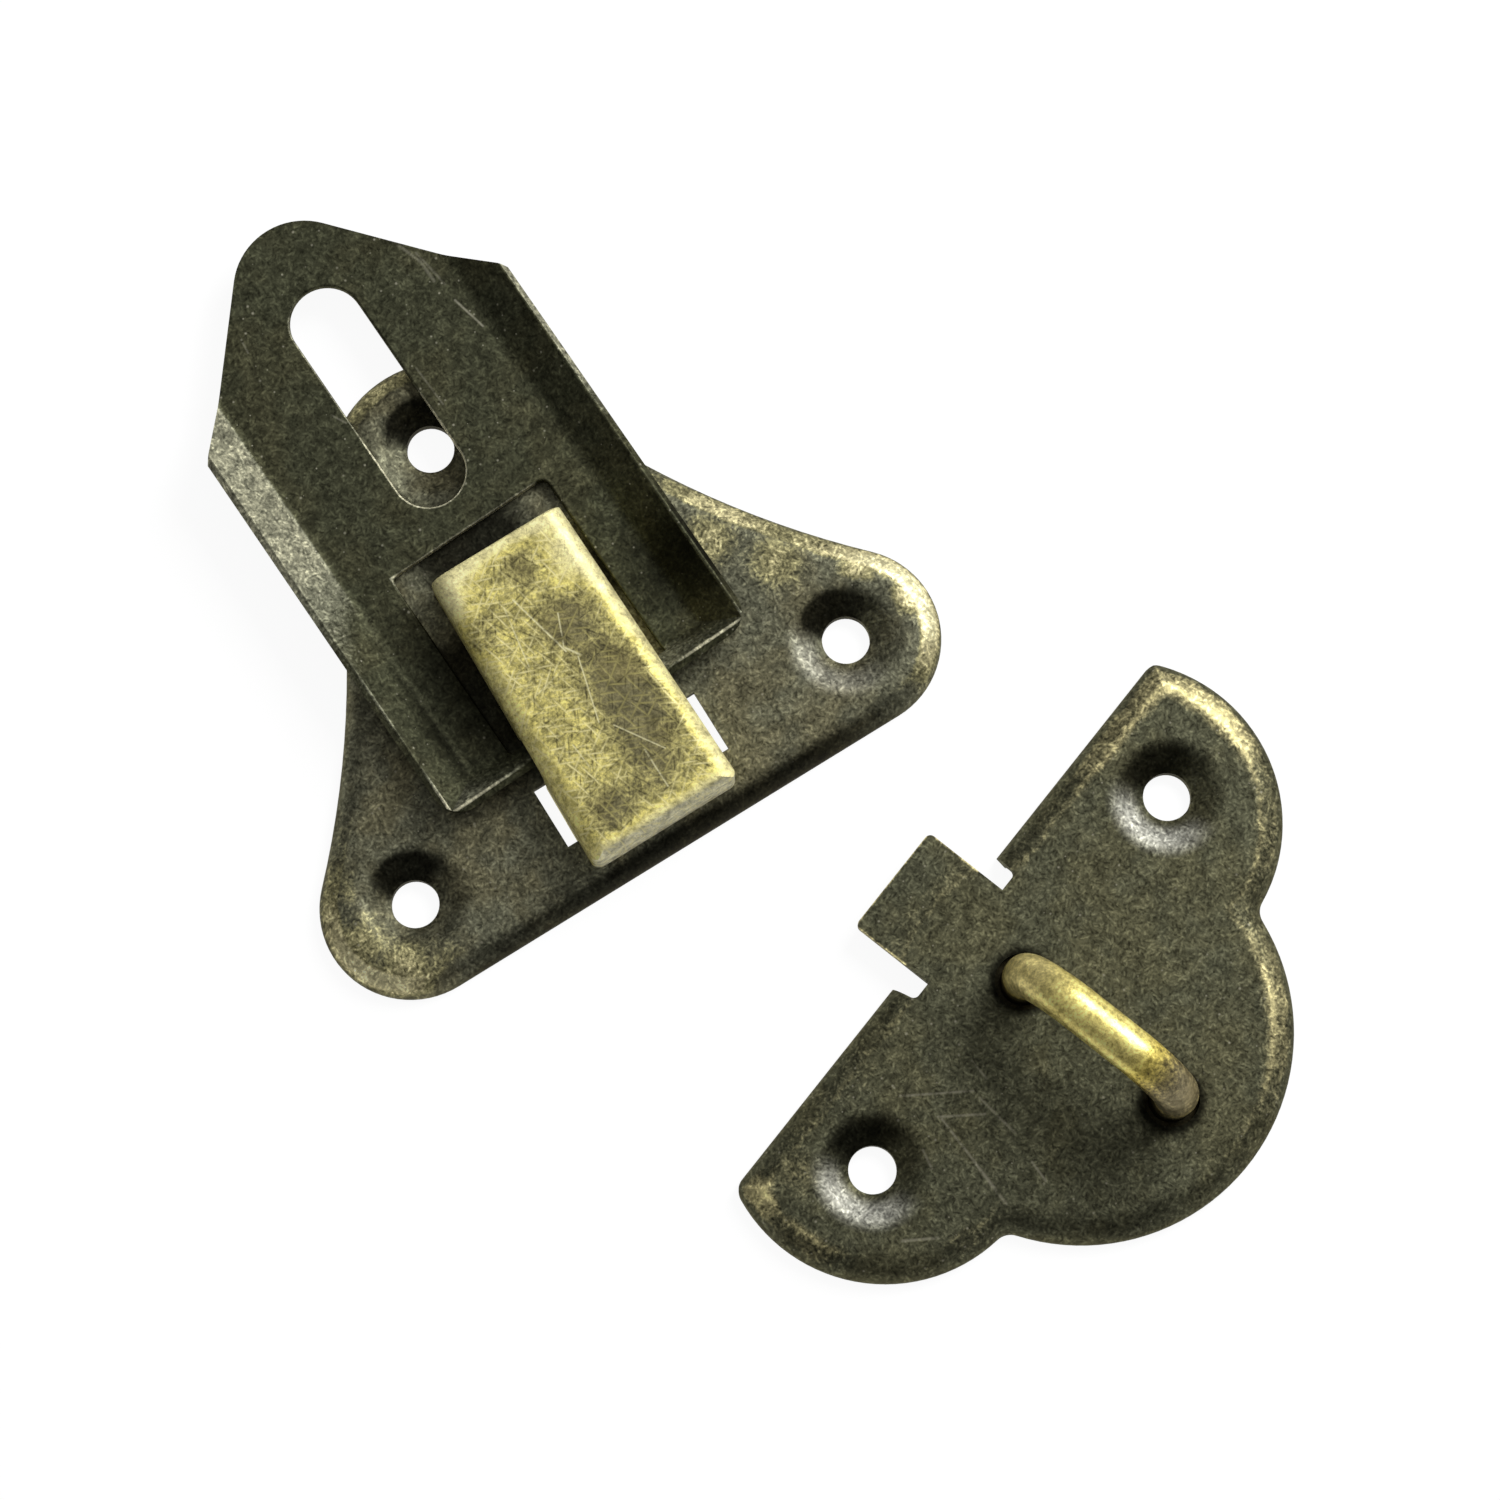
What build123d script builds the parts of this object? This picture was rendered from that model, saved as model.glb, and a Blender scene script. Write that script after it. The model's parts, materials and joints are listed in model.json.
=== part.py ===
from build123d import *
import os
from math import acos, atan2, cos, degrees, hypot, radians, sin, sqrt, tan

# All sizes in millimetres. The origin is midway between the two ear screws of the base plate,
# on the mounting plane; +Y runs to the nose of the base plate and +Z away from the surface.

# Pressed plates: sheet, height of the flat top, and the rounded rim
PLATE_SHEET = 0.8
PLATE_HEIGHT = 2.0
RIM_RADIUS = 1.8

# Cut edges of the lever and the cap, rounded off by tumbling
EDGE_BREAK = 0.15

# Dimpled seats for countersunk screws
SCREW_HOLE_RADIUS = 1.5
DIMPLE_MOUTH_RADIUS = 3.2
DIMPLE_LAND = 0.9
DIMPLE_SHOULDER = 1.6

# Base plate: two ears on a straight edge and a nose, joined by hollow flanks
EAR_SPACING = 31.5
EAR_RADIUS = 5.7
EAR_OUTSET = 0.35
NOSE_HOLE_Y = 24.1
NOSE_RADIUS = 7.5
NOSE_INSET = 2.0
FLANK_RADIUS = 60.0

# Lever: a shallow tray with flared sides, pointed tip, staple slot and window
LEVER_SHEET = 0.6
LEVER_WIDTH = 22.5
LEVER_DEPTH = 2.4
LEVER_GAP = 0.3
LEVER_BEND = 1.0
LEVER_CORNER = 1.8
FLANGE_ANGLE = 37.0
LIP_ANGLE = 50.0
LIP_LEAD = 0.45
SHOULDER_Y = 26.7
TIP_CENTRE_Y = 33.1
TIP_RADIUS = 4.4
SLOT_WIDTH = 4.65
SLOT_NEAR_Y = 19.0
SLOT_LENGTH = 16.15
WINDOW_FAR_Y = 14.6
WINDOW_CORNER = 0.6
WINDOW_GAP = 0.55

# Hinge: the end lip turns in two notches of the bridge cap, with the play of the real one
HINGE_Y = 3.6
LEVER_SKEW = 2.5
LEVER_SHIFT = -0.1
NOTCH_CLEARANCE = 0.12

# Bridge cap: a tapering channel with a closed front, held by two folded tabs
CAP_SHEET = 0.8
CAP_FRONT_Y = -4.3
CAP_LENGTH = 20.2
CAP_FRONT_WIDTH = 10.4
CAP_REAR_WIDTH = 9.3
CAP_BEND = 1.2
CAP_FRONT_BEND = 0.6
TAB_LENGTH = 3.85
TAB_FOLD = 2.4
TAB_SETBACK = 0.15
TAB_CLEARANCE = 0.15
TAB_WINDOW = 0.72

# Leaf spring under the roof of the cap
SPRING_SHEET = 0.35
SPRING_WIDTH = 6.6
SPRING_LENGTH = 16.6
SPRING_LAND = 2.5
SPRING_BOW = 0.25
SPRING_CLEARANCE = 0.1
SPRING_END_GAP = 0.2

# Strike plate: straight edge with a tongue, two end lobes and a belly, with hollow cusps between them
STRIKE_X = 13.55
STRIKE_Y = -23.93
STRIKE_TURN = 19.7
STRIKE_HOLE_SPACING = 29.6
STRIKE_EDGE_Y = 5.95
LOBE_X = 11.8
LOBE_Y = 1.4
LOBE_RADIUS = 10.2
BELLY_Y = -4.65
BELLY_RADIUS = 13.3
CUSP_RADIUS = 1.2
STRIKE_CORNER = 1.2
TONGUE_WIDTH = 7.4
TONGUE_REACH = 4.2
TONGUE_CORNER = 0.4
NOTCH_WIDTH = 1.3
NOTCH_FLARE = 0.4
NOTCH_DEPTH = 1.55
NOTCH_CORNER = 0.4

# Staple: a bent round wire riveted under the strike plate
WIRE_RADIUS = 1.4
STAPLE_SPAN = 11.6
STAPLE_CENTRE_Y = -5.9
STAPLE_RISE = 8.5
STAPLE_CORNER = 4.0
STAPLE_HOLE_GAP = 0.35
RIVET_RADIUS = 2.2
RIVET_HEIGHT = 0.7

# Heights that stack up from the mounting plane
PLATE_HOLLOW = PLATE_HEIGHT - PLATE_SHEET
HINGE_Z = PLATE_HEIGHT + LEVER_GAP + LEVER_DEPTH / 2

# The lip seen from the end: the reach of its rim along the lip and square to it, from the hinge axis
LIP_RIM_Z = LEVER_DEPTH / 2 - LEVER_SHEET * cos(radians(LIP_ANGLE))
BAR_HALF = LIP_LEAD * cos(radians(LIP_ANGLE)) + LIP_RIM_Z * sin(radians(LIP_ANGLE))
BAR_FACE = LIP_RIM_Z * cos(radians(LIP_ANGLE)) - LIP_LEAD * sin(radians(LIP_ANGLE))
BAR_SWEEP = hypot(BAR_HALF, BAR_FACE + LEVER_SHEET)

# The roof of the cap stands on the bar, the bowed spring and their clearance
SPRING_BELLY_Z = HINGE_Z + BAR_SWEEP + SPRING_CLEARANCE
CAP_ROOF_Z = SPRING_BELLY_Z + SPRING_SHEET + SPRING_BOW
CAP_TOP_Z = CAP_ROOF_Z + CAP_SHEET
CAP_REAR_Y = CAP_FRONT_Y + CAP_LENGTH

# Notches of the cap leave room for the bar at the lever's skew; the tabs stand just ahead of them
NOTCH_HALF = BAR_SWEEP + NOTCH_CLEARANCE + CAP_FRONT_WIDTH / 2 * tan(radians(abs(LEVER_SKEW)))
TAB_REAR_Y = HINGE_Y - NOTCH_HALF - TAB_SETBACK
TAB_FRONT_Y = TAB_REAR_Y - TAB_LENGTH
TAB_MIDDLE_Y = (TAB_REAR_Y + TAB_FRONT_Y) / 2

# Generous reach of cutting tools past the solid that they cut
OVER = 1.0
FAR = 80.0
LOW = (Align.CENTER, Align.CENTER, Align.MIN)
HIGH = (Align.CENTER, Align.CENTER, Align.MAX)
ABOVE = Box(FAR, FAR, FAR, align=LOW)
BELOW = Box(FAR, FAR, FAR, align=HIGH)


def top_edges(solid):
    """Edges round the highest face of a solid."""
    return solid.faces().sort_by(Axis.Z)[-1].edges()


def sweep_arc(centre, radius, start, end):
    """Arc about a centre from one angle to another, in degrees."""
    return CenterArc(centre, radius, start, end - start)


def bearing(origin, target):
    """Angle in degrees of the line from one point to another."""
    return degrees(atan2(target[1] - origin[1], target[0] - origin[0]))


def crossing(centre_a, radius_a, centre_b, radius_b, side):
    """Point where two circles cross, on the given side of the line from the first centre to the second."""
    run = (centre_b[0] - centre_a[0], centre_b[1] - centre_a[1])
    gap = hypot(*run)
    along = (gap**2 + radius_a**2 - radius_b**2) / (2 * gap)
    across = side * sqrt(radius_a**2 - along**2)
    return (
        centre_a[0] + (run[0] * along - run[1] * across) / gap,
        centre_a[1] + (run[1] * along + run[0] * across) / gap,
    )


def both_sides(edges):
    """Closed face from the right half of an outline and its mirror image."""
    return make_face(edges + [mirror(edge, about=Plane.YZ) for edge in edges])


def break_edge(solid, place):
    """Solid with the cut edge at a place, and what runs on smoothly from it, rounded off."""
    return fillet(solid.edges().sort_by_distance(place)[0], EDGE_BREAK)


def press_dimple(plate, x, y):
    """Countersunk screw seat pressed down to the mounting plane."""
    slope = atan2(PLATE_HEIGHT - DIMPLE_LAND, DIMPLE_MOUTH_RADIUS - SCREW_HOLE_RADIUS)
    drop = PLATE_SHEET / cos(slope)
    foot = SCREW_HOLE_RADIUS + (drop - DIMPLE_LAND) / tan(slope)
    brow = foot + PLATE_HOLLOW / tan(slope)
    seat = Cone(foot, brow, PLATE_HOLLOW, align=LOW)
    mouth = Cone(SCREW_HOLE_RADIUS, DIMPLE_MOUTH_RADIUS, PLATE_HEIGHT - DIMPLE_LAND, align=LOW)
    hole = Cylinder(SCREW_HOLE_RADIUS, PLATE_HEIGHT, align=LOW)
    plate = plate + Pos(x, y, 0) * seat - Pos(x, y, DIMPLE_LAND) * mouth - Pos(x, y, 0) * hole
    middle = Vector(x, y, PLATE_HEIGHT)
    circles = plate.edges().filter_by(GeomType.CIRCLE)
    brim = circles.sort_by(lambda edge: (edge.arc_center - middle).length)[0]
    return fillet(brim, DIMPLE_SHOULDER)


def cap_half_width(y, wall):
    """Half width of the tapering cap at a place along it, less a wall."""
    taper = (CAP_REAR_WIDTH - CAP_FRONT_WIDTH) / CAP_LENGTH
    return (CAP_FRONT_WIDTH + taper * (y - CAP_FRONT_Y)) / 2 - wall


def base_plate():
    """Triangular plate with three screw seats and two slots for the tabs of the cap."""
    ear = (EAR_SPACING / 2 + EAR_OUTSET, 0)
    nose = (0, NOSE_HOLE_Y - NOSE_INSET)
    flank = crossing(nose, NOSE_RADIUS + FLANK_RADIUS, ear, EAR_RADIUS + FLANK_RADIUS, 1)
    at_ear = bearing(ear, flank)
    at_nose = bearing(nose, flank)
    outline = both_sides([
        Line((0, -EAR_RADIUS), (ear[0], -EAR_RADIUS)),
        sweep_arc(ear, EAR_RADIUS, -90, at_ear),
        sweep_arc(flank, FLANK_RADIUS, at_ear + 180, at_nose + 180),
        sweep_arc(nose, NOSE_RADIUS, at_nose, 90),
    ])
    outside = fillet(top_edges(extrude(outline, PLATE_HEIGHT)), RIM_RADIUS)
    hollow = extrude(offset(outline, -PLATE_SHEET), PLATE_HOLLOW)
    plate = outside - fillet(top_edges(hollow), RIM_RADIUS - PLATE_SHEET)
    for x, y in ((-EAR_SPACING / 2, 0), (EAR_SPACING / 2, 0), (0, NOSE_HOLE_Y)):
        plate = press_dimple(plate, x, y)
    wall_out = cap_half_width(TAB_FRONT_Y, 0)
    slot_in = cap_half_width(TAB_REAR_Y, CAP_SHEET) - TAB_CLEARANCE
    slot_wide = wall_out + TAB_WINDOW - slot_in
    slot = Box(slot_wide, TAB_LENGTH + 2 * TAB_CLEARANCE, PLATE_HEIGHT + OVER, align=LOW)
    for side in (-1, 1):
        plate -= Pos(side * (slot_in + slot_wide / 2), TAB_MIDDLE_Y, 0) * slot
    return plate


def cap_block(wall, bend, front_bend, floor_z, overrun):
    """Tapering block with rounded shoulders and brow, inset by a wall."""
    front = CAP_FRONT_Y + wall
    rear = CAP_REAR_Y + overrun
    top = CAP_TOP_Z - wall
    wide_front = cap_half_width(front, wall)
    wide_rear = cap_half_width(rear, wall)
    plan = make_face(Polyline(
        (-wide_front, front), (wide_front, front), (wide_rear, rear), (-wide_rear, rear), close=True
    ))
    block = Pos(0, 0, floor_z) * extrude(plan, top - floor_z)
    shoulders = top_edges(block).sort_by(Axis.X)
    block = fillet([shoulders[0], shoulders[-1]], bend)
    side = Plane.YZ * make_face(Polyline(
        (front, floor_z), (rear, floor_z), (rear, top), (front, top), close=True
    ))
    brow = side.vertices().sort_by_distance((0, front, top))[0]
    block &= extrude(fillet(brow, front_bend), FAR, both=True)
    corners = plan.vertices().group_by(Axis.Y)[0]
    return block & extrude(fillet(corners, front_bend), FAR)


def bridge_cap():
    """Channel over the hinge, with notches for the lever's bar and tabs folded under the base plate."""
    outside = cap_block(0, CAP_BEND, CAP_FRONT_BEND, PLATE_HEIGHT, 0)
    inside = cap_block(
        CAP_SHEET, CAP_BEND - CAP_SHEET, CAP_FRONT_BEND - CAP_SHEET / 2, PLATE_HEIGHT, OVER
    )
    cap = outside - inside
    notch = Plane.YZ * make_face(Polyline(
        (HINGE_Y - NOTCH_HALF, PLATE_HEIGHT - OVER),
        (HINGE_Y + NOTCH_HALF, PLATE_HEIGHT - OVER),
        (HINGE_Y + NOTCH_HALF, HINGE_Z + BAR_SWEEP + NOTCH_CLEARANCE),
        (HINGE_Y - NOTCH_HALF, HINGE_Z + BAR_SWEEP + NOTCH_CLEARANCE),
        close=True,
    ))
    arch = fillet(notch.vertices().sort_by(Axis.Z)[-2:], BAR_SWEEP)
    cap -= extrude(arch, CAP_FRONT_WIDTH, both=True)
    cap = break_edge(cap, (0, CAP_REAR_Y, CAP_TOP_Z))
    foot = PLATE_HOLLOW - CAP_SHEET
    for side in (-1, 1):
        out_front = side * cap_half_width(TAB_FRONT_Y, 0)
        out_rear = side * cap_half_width(TAB_REAR_Y, 0)
        wall_plan = make_face(Polyline(
            (out_front, TAB_FRONT_Y), (out_rear, TAB_REAR_Y),
            (out_rear - side * CAP_SHEET, TAB_REAR_Y), (out_front - side * CAP_SHEET, TAB_FRONT_Y),
            close=True,
        ))
        fold_plan = make_face(Polyline(
            (out_front, TAB_FRONT_Y), (out_rear, TAB_REAR_Y),
            (out_rear - side * TAB_FOLD, TAB_REAR_Y), (out_front - side * TAB_FOLD, TAB_FRONT_Y),
            close=True,
        ))
        cap += Pos(0, 0, foot) * extrude(wall_plan, PLATE_HEIGHT - foot)
        cap += Pos(0, 0, foot) * extrude(fold_plan, CAP_SHEET)
    return cap


def leaf_spring():
    """Bowed leaf with a flat land under the roof of the cap; its belly rests over the lever's bar."""
    front = CAP_FRONT_Y + CAP_SHEET + SPRING_END_GAP
    rear = front + SPRING_LENGTH
    bow_end = rear - SPRING_LAND
    belly = SPRING_BELLY_Z + SPRING_SHEET

    def crest(drop):
        """Line of the leaf, lowered by a drop."""
        return [
            ThreePointArc(
                (front, CAP_ROOF_Z - drop),
                ((front + bow_end) / 2, belly - drop),
                (bow_end, CAP_ROOF_Z - drop),
            ),
            Line((bow_end, CAP_ROOF_Z - drop), (rear, CAP_ROOF_Z - drop)),
        ]

    ends = [
        Line((end, CAP_ROOF_Z), (end, CAP_ROOF_Z - SPRING_SHEET)) for end in (front, rear)
    ]
    profile = Plane.YZ * make_face(crest(0) + crest(SPRING_SHEET) + ends)
    return extrude(profile, SPRING_WIDTH / 2, both=True)


def lip_rim():
    """Place of the outer edge of the lip's rim, above the underside of the lever."""
    return Pos(0, -LIP_LEAD, LEVER_DEPTH / 2 + LIP_RIM_Z)


def trough(side, lip_inset, bend):
    """Trough with both sides alike, closed at one end by the slope of the lip, rounded at its folds."""
    section = [(-x, z) for x, z in reversed(side)] + side
    block = extrude(Plane.XZ * make_face(Polyline(*section, close=True)), FAR, both=True)
    block -= lip_rim() * Rot(X=-LIP_ANGLE) * Pos(0, 0, lip_inset) * BELOW
    folds = block.edges().group_by(Axis.Z)[0].sort_by(Axis.Y)[:-1]
    return fillet(folds, bend)


def lever_tray():
    """Sheet tray with flared sides and lip, its rims cut square to the sheet."""
    slope = tan(radians(FLANGE_ANGLE))
    rim = (LEVER_WIDTH / 2, LEVER_DEPTH - LEVER_SHEET * cos(radians(FLANGE_ANGLE)))
    crown = (LEVER_WIDTH / 2 - LEVER_SHEET * sin(radians(FLANGE_ANGLE)), LEVER_DEPTH)
    outer_fold = (rim[0] - rim[1] / slope, 0)
    inner_fold = (crown[0] - (LEVER_DEPTH - LEVER_SHEET) / slope, LEVER_SHEET)
    above = (crown[0] + OVER / slope, LEVER_DEPTH + OVER)
    outside = trough([outer_fold, rim, crown], 0, LEVER_BEND + LEVER_SHEET)
    inside = trough([inner_fold, above], LEVER_SHEET, LEVER_BEND)
    tray = outside - inside - lip_rim() * Rot(X=90 - LIP_ANGLE) * ABOVE
    return fillet(tray.edges().group_by(Axis.Z)[-1], EDGE_BREAK)


def lever():
    """Tray-shaped lever; its end lip crosses the window as the bar that turns in the cap."""
    half = LEVER_WIDTH / 2
    tray = lever_tray()
    shoulder = (half, SHOULDER_Y)
    tip = (0, TIP_CENTRE_Y)
    spread = degrees(acos(TIP_RADIUS / hypot(half, TIP_CENTRE_Y - SHOULDER_Y)))
    meets = bearing(tip, shoulder) + spread
    tangent = (TIP_RADIUS * cos(radians(meets)), TIP_CENTRE_Y + TIP_RADIUS * sin(radians(meets)))
    plan = both_sides([
        Line((0, -LIP_LEAD), (half, -LIP_LEAD)),
        Line((half, -LIP_LEAD), shoulder),
        Line(shoulder, tangent),
        sweep_arc(tip, TIP_RADIUS, meets, 90),
    ])
    corners = plan.vertices().filter_by(lambda v: abs(v.X) > half / 2).group_by(Axis.Y)[0]
    tray &= extrude(fillet(corners, LEVER_CORNER), LEVER_DEPTH)

    slot_run = SLOT_LENGTH - SLOT_WIDTH
    slot = Rot(Z=90) * SlotCenterToCenter(slot_run, SLOT_WIDTH)
    slot_middle = SLOT_NEAR_Y + slot_run / 2
    tray -= Pos(0, slot_middle, 0) * extrude(slot, LEVER_DEPTH)
    tray = break_edge(tray, (SLOT_WIDTH / 2, slot_middle, LEVER_SHEET))

    window_half = CAP_FRONT_WIDTH / 2 + WINDOW_GAP
    opening = make_face(Polyline(
        (-window_half, -OVER - LIP_LEAD), (window_half, -OVER - LIP_LEAD),
        (window_half, WINDOW_FAR_Y), (-window_half, WINDOW_FAR_Y), close=True,
    ))
    opening = fillet(opening.vertices().group_by(Axis.Y)[-1], WINDOW_CORNER)
    keep = Pos(0, 0, LEVER_DEPTH / 2) * Rot(X=90 - LIP_ANGLE) * Pos(0, 0, -BAR_HALF) * ABOVE
    window = extrude(opening, LEVER_DEPTH) - keep
    tray = break_edge(tray - window, (0, WINDOW_FAR_Y, LEVER_SHEET))
    return Pos(LEVER_SHIFT, HINGE_Y, HINGE_Z - LEVER_DEPTH / 2) * Rot(Z=LEVER_SKEW) * tray


def strike_place(shape):
    """Shape set down beside the base plate, where the strike half lies."""
    return Pos(STRIKE_X, STRIKE_Y, 0) * Rot(Z=STRIKE_TURN) * shape


def strike_blank(inset):
    """Lobes and belly joined by hollow cusps, trimmed by a straight rounded edge, whole or inset by the sheet."""
    height = PLATE_HEIGHT - inset
    rim = RIM_RADIUS - inset
    lobe = (LOBE_X, LOBE_Y)
    belly = (0, BELLY_Y)
    cusp = crossing(belly, BELLY_RADIUS + CUSP_RADIUS, lobe, LOBE_RADIUS + CUSP_RADIUS, -1)
    at_belly = bearing(belly, cusp)
    at_lobe = bearing(lobe, cusp)
    crest = LOBE_Y + LOBE_RADIUS - inset
    outline = both_sides([
        sweep_arc(belly, BELLY_RADIUS - inset, -90, at_belly),
        sweep_arc(cusp, CUSP_RADIUS + inset, at_belly + 180, at_lobe + 180),
        sweep_arc(lobe, LOBE_RADIUS - inset, at_lobe, 90),
        Line((LOBE_X, crest), (0, crest)),
    ])
    blank = fillet(top_edges(extrude(outline, height)), rim)
    trim = Box(FAR, FAR, height, align=(Align.CENTER, Align.MAX, Align.MIN))
    trim = fillet(top_edges(trim).sort_by(Axis.Y)[-1], rim)
    return blank & Pos(0, STRIKE_EDGE_Y - inset) * trim


def strike_plate():
    """Lobed plate with a straight edge, a flat tongue between two notches and holes for the staple."""
    blank = strike_blank(0)
    sole = Sketch() + blank.faces().sort_by(Axis.Z)[0]
    sole = fillet(sole.vertices().group_by(Axis.Y)[-1], STRIKE_CORNER)
    plate = blank & extrude(sole, PLATE_HEIGHT, dir=(0, 0, 1))
    plate -= strike_blank(PLATE_SHEET)
    for side in (-1, 1):
        plate = press_dimple(plate, side * STRIKE_HOLE_SPACING / 2, 0)

    half = TONGUE_WIDTH / 2
    root = STRIKE_EDGE_Y - NOTCH_DEPTH
    gap = make_face(Polyline(
        (-half - NOTCH_WIDTH, root), (half + NOTCH_WIDTH, root),
        (half + NOTCH_WIDTH + NOTCH_FLARE, STRIKE_EDGE_Y + OVER),
        (-half - NOTCH_WIDTH - NOTCH_FLARE, STRIKE_EDGE_Y + OVER), close=True,
    ))
    gap = fillet(gap.vertices().group_by(Axis.Y)[0], NOTCH_CORNER)
    plate -= extrude(gap, PLATE_HEIGHT)
    tongue = Pos(0, root) * Rectangle(
        TONGUE_WIDTH, NOTCH_DEPTH + TONGUE_REACH, align=(Align.CENTER, Align.MIN)
    )
    tongue = fillet(tongue.vertices().group_by(Axis.Y)[-1], TONGUE_CORNER)
    plate += Pos(0, 0, PLATE_HOLLOW) * extrude(tongue, PLATE_SHEET)
    hole = Cylinder(WIRE_RADIUS + STAPLE_HOLE_GAP, PLATE_HEIGHT + OVER, align=LOW)
    for end in (-1, 1):
        plate -= Pos(0, STAPLE_CENTRE_Y + end * STAPLE_SPAN / 2, 0) * hole
    return strike_place(plate)


def staple():
    """Round wire bent square with wide corners, its feet headed over under the plate."""
    foot = PLATE_HOLLOW - RIVET_HEIGHT
    top = PLATE_HEIGHT + STAPLE_RISE - WIRE_RADIUS
    near = STAPLE_CENTRE_Y + STAPLE_SPAN / 2
    far = STAPLE_CENTRE_Y - STAPLE_SPAN / 2
    path = Plane.YZ * FilletPolyline(
        (near, foot), (near, top), (far, top), (far, foot), radius=STAPLE_CORNER
    )
    wire = sweep(Plane((0, near, foot)) * Circle(WIRE_RADIUS), path)
    head = Cylinder(RIVET_RADIUS, RIVET_HEIGHT, align=LOW)
    for y in (near, far):
        wire += Pos(0, y, foot) * head
    return strike_place(wire)


PIECES = {
    "base_plate": base_plate,
    "bridge_cap": bridge_cap,
    "leaf_spring": leaf_spring,
    "lever": lever,
    "strike_plate": strike_plate,
    "staple": staple,
}

os.makedirs("parts", exist_ok=True)
for name, make in PIECES.items():
    export_step(make(), f"parts/{name}.step")
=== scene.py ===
"""Looks of a small box latch in antique bronze: a toggle half with its lever, and a strike half."""
import json
import logging
import math
from dataclasses import dataclass, field, fields
from enum import Enum
from functools import reduce

import bpy
from mathutils import Matrix, Vector

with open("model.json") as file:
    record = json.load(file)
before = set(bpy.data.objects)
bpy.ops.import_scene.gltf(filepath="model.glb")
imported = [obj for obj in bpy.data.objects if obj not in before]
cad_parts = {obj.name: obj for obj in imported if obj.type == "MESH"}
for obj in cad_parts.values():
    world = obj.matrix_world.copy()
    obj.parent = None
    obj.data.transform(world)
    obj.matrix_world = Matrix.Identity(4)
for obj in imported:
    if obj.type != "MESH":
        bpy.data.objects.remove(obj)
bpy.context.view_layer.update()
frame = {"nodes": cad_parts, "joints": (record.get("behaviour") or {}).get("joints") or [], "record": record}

log = logging.getLogger("latch")

MM = 0.001

Node = bpy.types.Node
Tree = bpy.types.NodeTree
Socket = bpy.types.NodeSocket
Feed = Socket | float | tuple[float, ...]
Colour = tuple[float, float, float, float]
Point = tuple[float, float]
Span = tuple[float, float]
Band = tuple[float, float, float, float]
Spot = tuple[float, float, float, float]


class Rule(Enum):
    """Sums that a Math node can do here."""

    ADD = "ADD"
    LESS = "SUBTRACT"
    TIMES = "MULTIPLY"
    OVER = "DIVIDE"
    MOST = "MAXIMUM"
    LEAST = "MINIMUM"
    SIZE = "ABSOLUTE"
    ABOVE = "GREATER_THAN"


class Mixing(Enum):
    """Ways in which one colour goes over another."""

    MIX = "MIX"
    MULTIPLY = "MULTIPLY"


class Kind(Enum):
    """Kinds of socket that the shared effects have."""

    VALUE = "NodeSocketFloat"
    VECTOR = "NodeSocketVector"


@dataclass(frozen=True)
class Cloud:
    """A cloudy pattern: clouds to a millimetre, steps of finer cloud in it, and how strong these are."""

    scale: float
    detail: float
    roughness: float


GRAIN = Cloud(4.0, 4.0, 0.75)
MOTTLE = Cloud(1.1, 4.0, 0.7)
STAINS = Cloud(0.22, 3.0, 0.6)
DRIFT = Cloud(0.8, 3.0, 0.55)

# Clouds and random draws lie about the middle, and clouds mostly within the span.
MIDDLE = 0.5
CLOUD_SPAN = (0.3, 0.7)

# A fine scratch, in cells of its net: its bow, where its ends fade, and the depth of the faintest one.
SCRATCH_BOW = 0.4
SCRATCH_ENDS = (0.6, 0.1)
SCRATCH_FAINTEST = 0.25

# Three nets of fine scratches lie over each other, the dark ones moved and turned against the light ones.
NET_TURNS = (0.4, 1.3, 2.5)
NET_GROWTH = 0.5
LIGHT_MOVE = (0.0, 0.0, 0.0)
LIGHT_TURN = 0.0
DARK_MOVE = (31.7, 12.9, 8.3)
DARK_TURN = 1.66

# One side of a screw seat, which carries painted shade and painted highlights: how squarely it faces at its
# strongest, and how soft its ring is in millimetres.
SEAT_FACING = 0.9
SEAT_INNER_SOFT = 0.5
SEAT_OUTER_SOFT = 0.7


def rgb(red: float, green: float, blue: float) -> Colour:
    """Colour with full alpha, in linear light."""
    return (red, green, blue, 1.0)


def grey(level: float) -> Colour:
    """Grey with full alpha, in linear light."""
    return rgb(level, level, level)


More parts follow.
